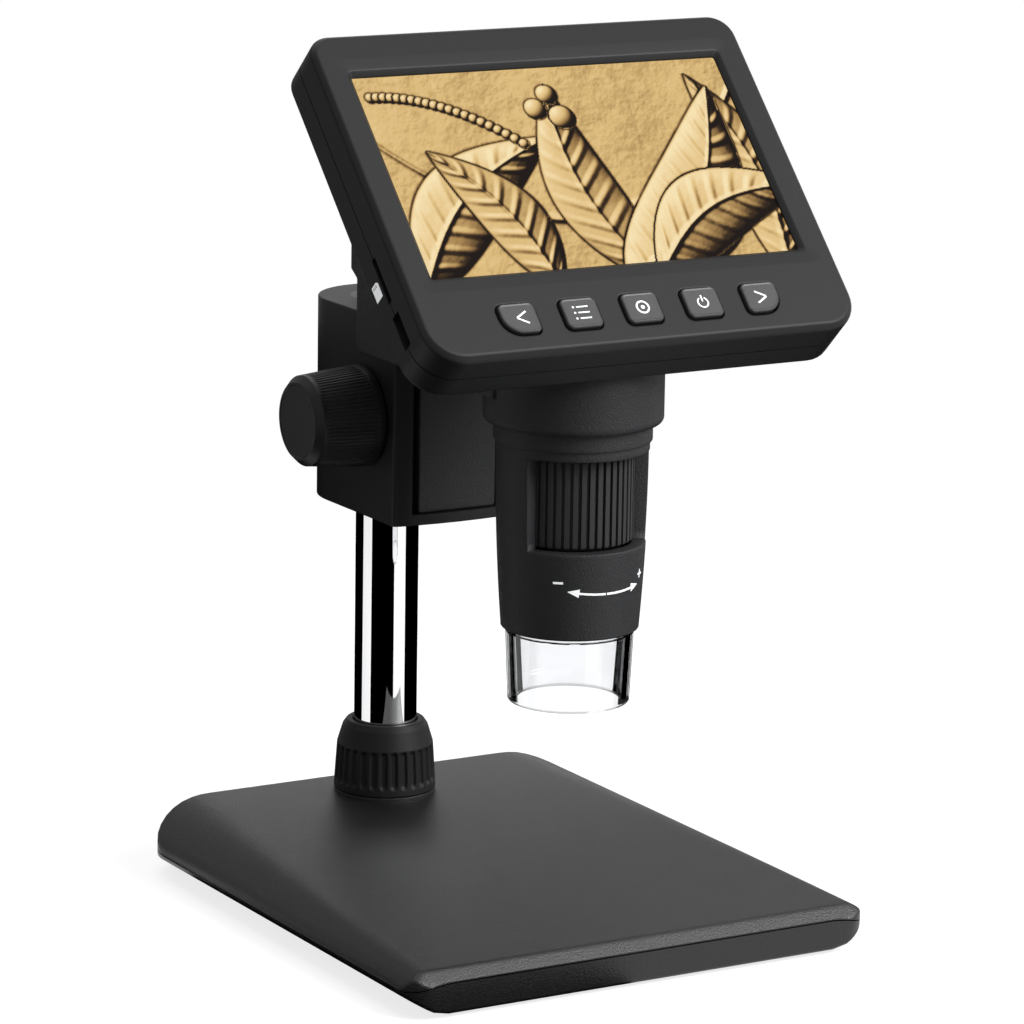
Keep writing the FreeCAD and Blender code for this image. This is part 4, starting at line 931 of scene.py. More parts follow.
HOUSING_HALF = bezel_high[0]
HOUSING_TOP = 38.9
HOUSING_BOTTOM = -49.7
TOP_RADIUS = 6.0
BOTTOM_RADIUS = 9.0
FACE_N = 1.5
PART_N = -6.2
BACK_N = -13.0
WALL = 2.0
WINDOW_WIDTH = 96.2
WINDOW_HEIGHT = 55.0
INNER_N = -0.6
SLOTS = ((-22.7, 11.6, 1.7), (-36.1, 8.7, 3.2))
KEY_COUNT = 5
KEY_PITCH = 15.8
KEY_V = -40.5
KEY_WIDTH = 9.2
KEY_HEIGHT = 7.8
KEY_GAP = 0.35
KEY_CORNER = 1.5
KEY_LONG_CORNER = 4.6
KEY_TOP = FACE_N + 0.9


def housing_outline(inset, steps=9):
    """Outline of the housing, with a pair of points at each end of each opening in its left side."""
    marks = sorted((v + s * (length / 2 + g)
                    for v, length, thick in SLOTS for s in (-1, 1) for g in (-0.04, 0.04)),
                   reverse=True)
    x0, x1 = -HOUSING_HALF + inset, HOUSING_HALF - inset
    y0, y1 = HOUSING_BOTTOM + inset, HOUSING_TOP - inset
    low = max(BOTTOM_RADIUS - inset, 0.2)
    high = max(TOP_RADIUS - inset, 0.2)
    corners = [(x0, y0), (x1, y0), (x1, y1), (x0, y1)] + [(x0, v) for v in marks]
    return rounded(corners, [low, low, high, high] + [0] * len(marks), steps=steps)


def slot_lift(flat):
    """Half height of the opening that each outline point lies in, or 0."""
    lift = np.zeros(len(flat))
    for v, length, thick in SLOTS:
        inside = (np.abs(flat[:, 1] - v) < length / 2) & (flat[:, 0] < -HOUSING_HALF + WALL + 0.5)
        lift = np.where(inside, thick / 2, lift)
    return lift


def key_outline(index, inset):
    """Key outline: soft corners, and one long round at the outer lower corner of the end keys."""
    x = (index - (KEY_COUNT - 1) / 2) * KEY_PITCH
    left = KEY_LONG_CORNER if index == 0 else KEY_CORNER
    right = KEY_LONG_CORNER if index == KEY_COUNT - 1 else KEY_CORNER
    return rounded_box(x - KEY_WIDTH / 2, x + KEY_WIDTH / 2, KEY_V - KEY_HEIGHT / 2, KEY_V + KEY_HEIGHT / 2,
                       [left, right, KEY_CORNER, KEY_CORNER], inset, steps=6)


def window_outline(grow):
    return rounded_box(-WINDOW_WIDTH / 2 - grow, WINDOW_WIDTH / 2 + grow, -WINDOW_HEIGHT / 2 - grow,
                       WINDOW_HEIGHT / 2 + grow, 0.5 + grow * 0.5, 0.0, steps=3)


def flat_face(loops, start_indices):
    """Triangles of a flat face between an outer loop and the loops of its openings: of the triangles between
    all points, those whose middle lies within an odd number of loops."""
    flat = np.concatenate(loops)
    order = np.concatenate([np.arange(len(loop)) + start for loop, start in zip(loops, start_indices)])
    edges = []
    for loop in loops:
        first = len(edges)
        edges += [(first + k, first + (k + 1) % len(loop)) for k in range(len(loop))]
    made = delaunay_2d_cdt([Vector(p) for p in flat.tolist()], edges, [], 0, 1e-7, True)
    triangles = np.array([[made[3][k][0] for k in face] for face in made[2]])
    middle = flat[triangles].mean(axis=1)
    crossings = np.zeros(len(middle), int)
    for loop in loops:
        a, b = loop[None], np.roll(loop, -1, axis=0)[None]
        x, y = middle[:, 0:1], middle[:, 1:2]
        spans = (a[..., 1] > y) != (b[..., 1] > y)
        rise = np.where(spans, b[..., 1] - a[..., 1], 1.0)
        at = a[..., 0] + (y - a[..., 1]) * (b[..., 0] - a[..., 0]) / rise
        crossings += np.sum(spans & (x < at), axis=1)
    return order[triangles[crossings % 2 == 1]].tolist()


def front_bezel():
    """Front cover: a face with openings for the picture and keys, a soft outer edge, walls and an inner
    face."""
    points = []
    faces = []

    def add(rows):
        """Adds a band of rows and returns where its first and last rows start."""
        start = sum(len(p) for p in points)
        grid = np.stack(rows)
        faces.extend(grid_faces(*grid.shape[:2], offset=start))
        points.append(grid.reshape(-1, 3))
        return start, start + (grid.shape[0] - 1) * grid.shape[1]

    def level(flat, n):
        return np.column_stack([flat, np.full(len(flat), n) if np.isscalar(n) else n])

    bevel = 1.25
    profile = rounded([(0.0, FACE_N - bevel - 0.9), (0.0, FACE_N - bevel), (bevel, FACE_N),
                       (bevel + 0.9, FACE_N)],
                      [0, 1.1, 1.1, 0], closed=False, steps=4, hold=0.1)
    rows = [level(housing_outline(inset), n) for inset, n in profile[::-1]]
    rim = housing_outline(0.0)
    rows.append(level(rim, PART_N + slot_lift(rim)))
    inner = housing_outline(WALL)
    rows.append(level(inner, PART_N + slot_lift(inner)))
    rows.append(level(inner, np.full(len(inner), INNER_N)))
    outer_start, inner_start = add(rows)
    face_loops = [rows[0][:, :2]]
    face_starts = [outer_start]
    inner_loops = [rows[-1][:, :2]]
    inner_starts = [inner_start]

    frame_grow = 4.4
    dip = 0.22
    window = [(frame_grow + 0.3, FACE_N), (frame_grow, FACE_N), (frame_grow - 0.3, FACE_N - dip * 0.08),
              (1.5, FACE_N - dip), (1.2, FACE_N - dip - 0.04), (1.0, FACE_N - dip - 0.2),
              (0.12, FACE_N - 1.2),
              (0.0, FACE_N - 1.35), (0.0, INNER_N)]
    rows = [level(window_outline(grow), n) for grow, n in window]
    first, last = add(rows)
    face_loops.append(rows[0][:, :2])
    face_starts.append(first)
    inner_loops.append(rows[-1][:, :2])
    inner_starts.append(last)
    for index in range(KEY_COUNT):
        lip = 0.3
        bend = [(lip * (1 - math.sin(a)), FACE_N - lip * (1 - math.cos(a)))
                for a in np.linspace(0, math.pi / 2, 4)]
        rows = [level(key_outline(index, -KEY_GAP - grow), n)
                for grow, n in [(lip + 0.2, FACE_N)] + bend + [(0.0, INNER_N)]]
        first, last = add(rows)
        face_loops.append(rows[0][:, :2])
        face_starts.append(first)
        inner_loops.append(rows[-1][:, :2])
        inner_starts.append(last)
    faces.extend(flat_face(face_loops, face_starts))
    faces.extend(flat_face(inner_loops, inner_starts))
    piece("screen_bezel", from_screen(np.concatenate(points)), faces, "head", shell_plastic, ("front_bezel",),
          smooth=40)


SCREW_PLACES = [(side * x, v) for x, v in ((45.7, HOUSING_BOTTOM + 5.1), (49.0, HOUSING_TOP - 4.6))
                for side in (-1, 1)]


def circle(x, y, radius, count=28):
    t = np.linspace(0, 2 * math.pi, count, endpoint=False)
    return np.column_stack([x + radius * np.cos(t), y + radius * np.sin(t)])


def back_cover():
    """Back cover: a lip in the part line, walls, a soft back edge, and four sunk holes for its screws."""
    points = []
    faces = []

    def add(rows):
        start = sum(len(p) for p in points)
        grid = np.stack(rows)
        faces.extend(grid_faces(*grid.shape[:2], offset=start))
        points.append(grid.reshape(-1, 3))
        return start, start + (grid.shape[0] - 1) * grid.shape[1]

    def level(flat, n):
        return np.column_stack([flat, np.full(len(flat), n) if np.isscalar(n) else n])

    def below(inset, n):
        flat = housing_outline(inset)
        return level(flat, np.minimum(n, np.where(slot_lift(flat) > 0, PART_N - slot_lift(flat), 99.0)))

    edge = 0.9
    rows = [level(housing_outline(WALL), BACK_N + WALL), below(WALL, PART_N - 0.05),
            below(GROOVE_DEPTH, PART_N - 0.05), below(GROOVE_DEPTH, PART_N - GROOVE),
            below(0.0, PART_N - GROOVE)]
    rows += [level(housing_outline(inset), 2 * BACK_N - n) for inset, n in soft_rows(edge, BACK_N, 0.25, 5)]
    first, last = add(rows)
    back_loops = [rows[-1][:, :2]]
    back_starts = [last]
    inner_loops = [rows[0][:, :2]]
    inner_starts = [first]
    for x, v in SCREW_PLACES:
        hole = [(2.5, BACK_N), (2.3, BACK_N), (2.2, BACK_N + 0.12), (2.2, BACK_N + 1.6), (1.3, BACK_N + 1.6),
                (1.3, BACK_N + WALL)]
        rows = [level(circle(x, v, radius), n) for radius, n in hole]
        first, last = add(rows)
        back_loops.append(rows[0][:, :2])
        back_starts.append(first)
        inner_loops.append(rows[-1][:, :2])
        inner_starts.append(last)
    faces.extend(flat_face(back_loops, back_starts))
    faces.extend(flat_face(inner_loops, inner_starts))
    piece("screen_back", from_screen(np.concatenate(points)), faces, "head", shell_plastic, ("back_cover",),
          smooth=40)


def key_pieces():
    for index in range(KEY_COUNT):
        rows = stacked(lambda inset: key_outline(index, inset),
                       [(0.0, INNER_N - 0.9)] + soft_rows(0.55, KEY_TOP, 0.25, 5))
        points, faces = skin(rows)
        dome = 0.12 * (1 - ((points[:, 1] - KEY_V) / (KEY_HEIGHT / 2)) ** 2)
        points[:, 2] += np.where(points[:, 2] > KEY_TOP - 0.01, -0.12 + 0 * dome, 0)
        number = str(index + 1)
        piece("key_cap_" + number, from_screen(points), faces, "key_" + number + "_cap", key_plastic,
              ("key_" + number,))


# Printed marks

def ribbon(path, width, closed=False):
    """Flat stroke: its two edges lie half the width to each side of the path."""
    path = np.asarray(path, float)
    ahead = np.gradient(path, axis=0)
    if closed:
        ahead = np.roll(path, -1, axis=0) - np.roll(path, 1, axis=0)
    ahead = ahead / np.linalg.norm(ahead, axis=1, keepdims=True)
    side = np.column_stack([-ahead[:, 1], ahead[:, 0]]) * width / 2
    return path + side, path - side


def bar(a, b, width, parts=8):
    t = np.linspace(0, 1, parts)[:, None]
    return ribbon(np.array(a, float) * (1 - t) + np.array(b, float) * t, width)


def strip_solid(left, right, low, high, closed=False):
    """Thin solid between two edges of a flat stroke."""
    def level(edge, n):
        return np.column_stack([edge, np.full(len(edge), n)])
    grid = np.stack([level(left, low), level(right, low), level(right, high), level(left, high)], axis=1)
    count = len(left)
    faces = grid_faces(count, 4, wrap_rows=closed)
    if not closed:
        faces += [[3, 2, 1, 0], [(count - 1) * 4 + j for j in range(4)]]
    return grid.reshape(-1, 3), faces


def solid_polygon(corners, low, high):
    """Thin prism on a flat outline."""
    corners = np.asarray(corners, float)
    rows = [np.column_stack([corners, np.full(len(corners), n)]) for n in (low, high)]
    return skin(rows)


def joined(solids):
    whole = solids[0]
    for solid in solids[1:]:
        whole = both(whole, solid)
    return whole


INK_THICKNESS = 0.03


def key_marks():
    """Generic symbols: left and right chevrons, a list, a plain ring and a ring with a stroke."""
    top = KEY_TOP - 0.12
    low, high = top - 0.02, top + INK_THICKNESS
    width = 0.42

    def stroke(a, b, thick=width):
        return strip_solid(*bar(a, b, thick), low, high)

    def ring(x, y, radius, start=0.0, stop=360.0, thick=width):
        t = np.radians(np.linspace(start, stop, 49))
        path = np.column_stack([x + radius * np.cos(t), y + radius * np.sin(t)])
        if stop - start >= 360:
            return strip_solid(*ribbon(path[:-1], thick, closed=True), low, high, closed=True)
        return strip_solid(*ribbon(path, thick), low, high)

    def centre(index):
        return (index - (KEY_COUNT - 1) / 2) * KEY_PITCH, KEY_V
    x, v = centre(0)
    x += 0.6
    marks = {0: [stroke((x + 1.3, v + 1.55), (x - 1.3, v + 0.05)),
                 stroke((x - 1.3, v - 0.05), (x + 1.3, v - 1.55))]}
    x, v = centre(1)
    lines = []
    for row in (1.5, 0.0, -1.5):
        lines.append(stroke((x - 0.9, v + row), (x + 2.0, v + row), 0.34))
        lines.append(solid_polygon(circle(x - 1.75, v + row, 0.27, 14), low, high))
    marks[1] = lines
    x, v = centre(2)
    marks[2] = [ring(x, v, 1.5), solid_polygon(circle(x, v, 0.5, 20), low, high)]
    x, v = centre(3)
    marks[3] = [ring(x, v - 0.15, 1.3, 118.0, 422.0, 0.34), stroke((x, v + 0.1), (x, v + 1.75), 0.34)]
    x, v = centre(4)
    x -= 0.2
    marks[4] = [stroke((x - 1.3, v + 1.55), (x + 1.3, v + 0.05)),
                stroke((x + 1.3, v - 0.05), (x - 1.3, v - 1.55))]
    for index, solids in marks.items():
        points, faces = joined(solids)
        piece("key_mark_" + str(index + 1), from_screen(points), faces, "key_" + str(index + 1) + "_cap",
              white_ink)


def card_mark():
    """A white card with a cut corner and three dark contacts, on the left side behind the part line."""
    v0, n0 = -23.4, -9.6
    x = -HOUSING_HALF

    def to_side(solid):
        """Turns a flat mark (across, along, out) so that it lies on the left side."""
        points, faces = solid
        turned = np.stack([x - points[:, 2], v0 + points[:, 1], n0 + points[:, 0]], axis=-1)
        return from_screen(turned), faces
    outline = [(-1.6, -2.0), (1.6, -2.0), (1.6, 1.4), (0.9, 2.0), (-1.6, 2.0)]
    points, faces = to_side(solid_polygon(outline, -0.02, INK_THICKNESS))
    piece("card_mark", points, faces, "head", white_ink)
    bars = [strip_solid(*bar((across, 0.9), (across, 1.6), 0.28), INK_THICKNESS - 0.01, INK_THICKNESS + 0.01)
            for across in (-0.9, -0.2, 0.5)]
    points, faces = to_side(joined(bars))
    piece("card_mark_contacts", points, faces, "head", dark_ink)


# Rear body

REAR_HALF = rear_high[0]


def back_plane(v):
    point = from_screen(np.array([[0.0, v, BACK_N]]))[0]
    return point[1], point[2]


def rear_piece():
    """Rear body: its side view carried across the width, with soft edges at both sides."""
    z0 = rear_low[2]
    back = 31.0
    hump = rear_high[1]
    step = z0 + 18.6
    top = z0 + 33.0
    front = tube_y
    top_y, top_z = back_plane(20.0)
    lean = SCREEN_UP[1:]
    foot = (front - top_y) / lean[0]
    corners = [(front, z0), (back, z0), (back, step - 1), (hump, step + 1), (hump, top),
               (hump - 7, top + 1.5),
               (top_y, top_z), (front, top_z + foot * lean[1])]
    outline = rounded(corners, [0, 3.2, 0.6, 0.8, 4.0, 3.0, 0.3, 0.0], steps=5)
    soft = 0.6
    rows = []
    turn = np.linspace(0, math.pi / 2, 6)
    insets = [(soft + 0.3, -REAR_HALF)] + [(soft - soft * math.sin(a), -REAR_HALF + soft - soft * math.cos(a))
                                           for a in turn] + [(0.0, -REAR_HALF + soft + 0.3)]
    insets += [(inset, -x) for inset, x in insets[::-1]]
    for inset, x in insets:
        flat = shifted(outline, inset)
        rows.append(np.column_stack([np.full(len(flat), x), flat]))
    points, faces = skin(rows)
    piece("rear_case", points, faces, "head", grained_plastic, ("rear_body",), smooth=45)


# Tube

def neck_piece():
    """Neck: a ring with a soft lower edge, whose top is cut by the plane of the screen's back."""
    radius = (neck_high[0] - neck_low[0]) / 2
    bore = radius - 2.4
    z0 = neck_low[2]
    edge = 1.6
    turn = np.linspace(0, math.pi / 2, 7)
    lower = [(bore, z0 + 0.4), (bore + 0.3, z0), (radius - edge - 0.2, z0)]
    lower += [(radius - edge + edge * math.sin(a), z0 + edge - edge * math.cos(a)) for a in turn]
    lower += [(radius, z0 + edge + 0.2)]
    angle = np.linspace(0, 2 * math.pi, 160, endpoint=False)
    rows = []
    for r, z in lower:
        rows.append(np.stack([r * np.cos(angle), r * np.sin(angle), np.full_like(angle, z)], axis=-1))
    origin_y, origin_z = back_plane(0.0)
    slope = SCREEN_UP[2] / SCREEN_UP[1]
    for r, share in [(radius, s) for s in np.linspace(0.15, 1.0, 8)] + [
            (bore, s) for s in np.linspace(1.0, 0.0, 8)]:
        y = r * np.sin(angle)
        top = origin_z + (y + tube_y - origin_y) * slope + 0.3
        top = np.minimum(top, neck_high[2])
        z = (z0 + edge + 0.2) * (1 - share) + top * share
        rows.append(np.stack([r * np.cos(angle), y, z], axis=-1))
    points, faces = skin(rows, closed=True)
    piece("neck", moved(points, 0, tube_y, 0), faces, "head", grained_plastic, ("neck_ring",))


TUBE_TOP_RADIUS = 17.7
TUBE_MIDDLE_RADIUS = 17.28
TUBE_BOTTOM_RADIUS = 15.95
STEP_RADIUS = 18.3
STEP_Z = 120.5
WINDOW_LOW = wheel_low[2] - 0.5
WINDOW_HIGH = wheel_high[2] + 0.5
WINDOW_ANGLE = 66.0


def tube_radius(z):
    """Radius of the tube's side: the curve through its bottom, middle and top radius."""
    low, high = tube_low[2], STEP_Z
    t = (z - low) / (high - low)
    a, b, c = TUBE_BOTTOM_RADIUS, TUBE_MIDDLE_RADIUS, TUBE_TOP_RADIUS
    return a * (2 * t - 1) * (t - 1) + 4 * b * t * (1 - t) + c * t * (2 * t - 1)


def tube_piece():
    """Tube with a window for the wheel: outer and inner skin over angle and height, with the window's cells
    left out of both and its sides joined, and its edges eased over a third of a millimetre."""
    ease = 0.35
    half = math.radians(WINDOW_ANGLE)
    near = np.array([0.0, 0.06, 0.15, 0.35, 0.8]) / TUBE_MIDDLE_RADIUS
    inside = np.linspace(-half, half, 49)[1:-1]
    outside = np.linspace(half, 2 * math.pi - half, 84)[1:-1]
    angle = np.sort(np.mod(np.concatenate([inside, outside, half + near, -half - near, ]), 2 * math.pi))
    front = math.radians(270.0)
    low, high = tube_low[2], STEP_Z
    bands = [low + 0.6, low + 0.9, *np.linspace(low + 1.4, WINDOW_LOW - 1.0, 12), WINDOW_LOW - 0.35,
             WINDOW_LOW - 0.15,
             WINDOW_LOW - 0.06, WINDOW_LOW, *np.linspace(WINDOW_LOW, WINDOW_HIGH, 12)[1:-1], WINDOW_HIGH,
             WINDOW_HIGH + 0.06, WINDOW_HIGH + 0.15, WINDOW_HIGH + 0.35, WINDOW_HIGH + 1.0, high - 0.1, high]
    level = np.array(bands)
    theta, z = np.meshgrid(angle, level)
    signed = np.mod(theta + math.pi, 2 * math.pi) - math.pi
    beside = np.maximum(np.abs(signed) - half, 0) * TUBE_MIDDLE_RADIUS
    above = np.maximum(np.maximum(WINDOW_LOW - z, z - WINDOW_HIGH), 0)
    gap = np.sqrt(beside ** 2 + above ** 2)
    drop = ease - np.sqrt(np.maximum(ease ** 2 - np.maximum(ease - gap, 0) ** 2, 0))
    outer_radius = tube_radius(z) - drop

    def ring_points(radius, level_grid):
        return np.stack([radius * np.cos(theta + front), radius * np.sin(theta + front), level_grid], axis=-1)
    outer = ring_points(outer_radius, z)
    inner = ring_points(tube_radius(z) - 3.2, z)
    rows, columns = z.shape
    middle_theta = np.mod(angle + np.diff(np.append(angle, angle[0] + 2 * math.pi)) / 2 + math.pi,
                          2 * math.pi) - math.pi
    middle_z = (level[1:] + level[:-1]) / 2
    in_height = (middle_z > WINDOW_LOW) & (middle_z < WINDOW_HIGH)
    is_open = (np.abs(middle_theta)[None, :] < half - 1e-6) & in_height[:, None]
    shift = rows * columns

    def index(i, j):
        return i * columns + j % columns
    faces = []
    for i, j in np.argwhere(~is_open):
        quad = [index(i, j), index(i, j + 1), index(i + 1, j + 1), index(i + 1, j)]
        faces += [quad, [k + shift for k in quad[::-1]]]
    for i, j in np.argwhere(is_open != np.roll(is_open, 1, axis=1)):
        faces.append([index(i, j), index(i + 1, j), index(i + 1, j) + shift, index(i, j) + shift])
    for i, j in np.argwhere(is_open[1:] != is_open[:-1]):
        faces.append([index(i + 1, j), index(i + 1, j + 1), index(i + 1, j + 1) + shift,
                      index(i + 1, j) + shift])
    points = [outer.reshape(-1, 3), inner.reshape(-1, 3)]
    count = 2 * shift

    def band(radii_levels, first, last_shift):
        """Joins an end row of the outer skin to that of the inner skin through extra rows."""
        nonlocal count
        rows_made = [ring_points(r, lvl)[0] for r, lvl in radii_levels]
        starts = [first]
        for made in rows_made:
            points.append(made)
            starts.append(count)
            count += len(made)
        starts.append(last_shift)
        for a, b in zip(starts[:-1], starts[1:]):
            for j in range(columns):
                faces.append([a + j, a + (j + 1) % columns, b + (j + 1) % columns, b + j])
    one = np.ones_like(theta)
    bottom = tube_radius(low)
    lower = [(bottom + 0.05 - 0.1 * 0, low + 0.35), (bottom - 0.12, low + 0.12), (bottom - 0.45, low),
             (13.75, low), (13.65, low + 0.1)]
    band([(r * one, lvl * one) for r, lvl in lower], 0, shift)
    upper_z = neck_low[2] + 1.2
    upper = [(STEP_RADIUS - 0.35, high), (STEP_RADIUS - 0.1, high + 0.1), (STEP_RADIUS, high + 0.35),
             (STEP_RADIUS, high + 0.8), (STEP_RADIUS, upper_z), (TUBE_TOP_RADIUS - 2, upper_z)]
    band([(r * one, lvl * one) for r, lvl in upper], (rows - 1) * columns, shift + (rows - 1) * columns)
    piece("tube_case", moved(np.concatenate(points), 0, tube_y, 0), faces, "head", grained_plastic,
          ("tube_shell",),
          smooth=44)


WHEEL_RIBS = 46


def wheel_piece():
    """Focus wheel: a ring whose outside has flat-topped ribs with steep sides."""
    radius = (wheel_high[0] - wheel_low[0]) / 2
    inner = radius - 1.2
    z0, z1 = wheel_low[2], wheel_high[2]
    levels = np.linspace(z0 + 0.6, z1 - 0.6, 6)
    profile = [(inner, z0), (radius - 0.5, z0), (radius - 0.15, z0 + 0.15), (radius, z0 + 0.5)]
    profile += [(radius, z) for z in levels]
    profile += [(radius, z1 - 0.5), (radius - 0.15, z1 - 0.15), (radius - 0.5, z1), (inner, z1)]

    def relief(angle, height, reach):
        wave = np.cos(angle * WHEEL_RIBS)
        return -0.85 * (1 - smooth_step(wave, -0.62, -0.3)) * smooth_step(reach, inner + 0.1, inner + 0.5)
    points, faces = lathe_skin(profile, WHEEL_RIBS * 20, relief, ring=True)
    piece("focus_grip", moved(points, 0, tube_y, 0), faces, "focus_ring", wheel_rubber, ("focus_wheel",),
          smooth=32)


def tube_marks():
    """White marks on the tube, drawn flat as (distance round, height) and wrapped on its side: a two-headed
    arrow that dips in the middle, a minus at its left and a plus at its right."""
    low, high = -0.02, INK_THICKNESS

    def wrap(solid):
        points, faces = solid
        z = points[:, 1]
        reach = tube_radius(z) + points[:, 2]
        angle = math.radians(270.0) + points[:, 0] / TUBE_MIDDLE_RADIUS
        return np.stack([reach * np.cos(angle), reach * np.sin(angle), z], axis=-1), faces
    arrow_z = 87.35
    start, stop = math.radians(-33.5), math.radians(34.0)

    def arrow_height(angle):
        return arrow_z + 2.4 * np.abs(angle) ** 2
    solids = []
    gap = math.radians(1.2)
    split = math.radians(-1.5)
    for a, b in ((start + 0.1, split - gap / 2), (split + gap / 2, stop - 0.1)):
        t = np.linspace(a, b, 24)
        path = np.column_stack([t * TUBE_MIDDLE_RADIUS, arrow_height(t)])
        solids.append(strip_solid(*ribbon(path, 0.5), low, high))
    grow = np.linspace(0.03, 1.0, 9)[:, None]
    for tip, way in ((start, 1), (stop, -1)):
        x = tip * TUBE_MIDDLE_RADIUS
        z = arrow_height(tip)
        slope = way * (arrow_height(tip + way * 0.17) - z) / (0.17 * TUBE_MIDDLE_RADIUS)
        along = np.array([way, way * slope]) * 2.9
        wide = np.array([-slope, 1.0]) * 1.0
        solids.append(strip_solid((x, z) + grow * (along + wide), (x, z) + grow * (along - wide), low, high))
    minus_x = math.radians(-40.6) * TUBE_MIDDLE_RADIUS
    solids.append(strip_solid(*bar((minus_x - 1.2, 90.15), (minus_x + 1.2, 90.15), 0.52), low, high))
    plus_x = math.radians(37.5) * TUBE_MIDDLE_RADIUS
    solids.append(strip_solid(*bar((plus_x - 1.0, 90.4), (plus_x + 1.0, 90.4), 0.5), low, high))
    solids.append(strip_solid(*bar((plus_x, 89.4), (plus_x, 91.4), 0.5), low, high))
    points, faces = wrap(joined(solids))
    piece("focus_marks", moved(points, 0, tube_y, 0), faces, "head", white_ink)


def cap_piece():
    """Clear cap: a slightly tapered ring with soft rims and a thinner plug that enters the tube."""
    z0, z2 = cap_low[2], cap_high[2]
    seat = tube_low[2] - 0.1
    top, bottom, wall = 14.9, 14.1, 1.8
    profile = rounded([(bottom - wall, z0), (bottom, z0), (top, seat), (13.6, seat), (13.6, z2), (12.2, z2),
                       (12.2, seat - 1.0), (top - wall, seat - 1.2)],
                      [0.5, 0.7, 0.2, 0, 0.2, 0.2, 0.3, 0], closed=True, steps=5, hold=0.15)
    points, faces = lathe_skin(profile, 192, ring=True)
    piece("clear_nose", moved(points, 0, tube_y, 0), faces, "head", clear_acrylic, ("clear_cap",))


# Picture on the screen

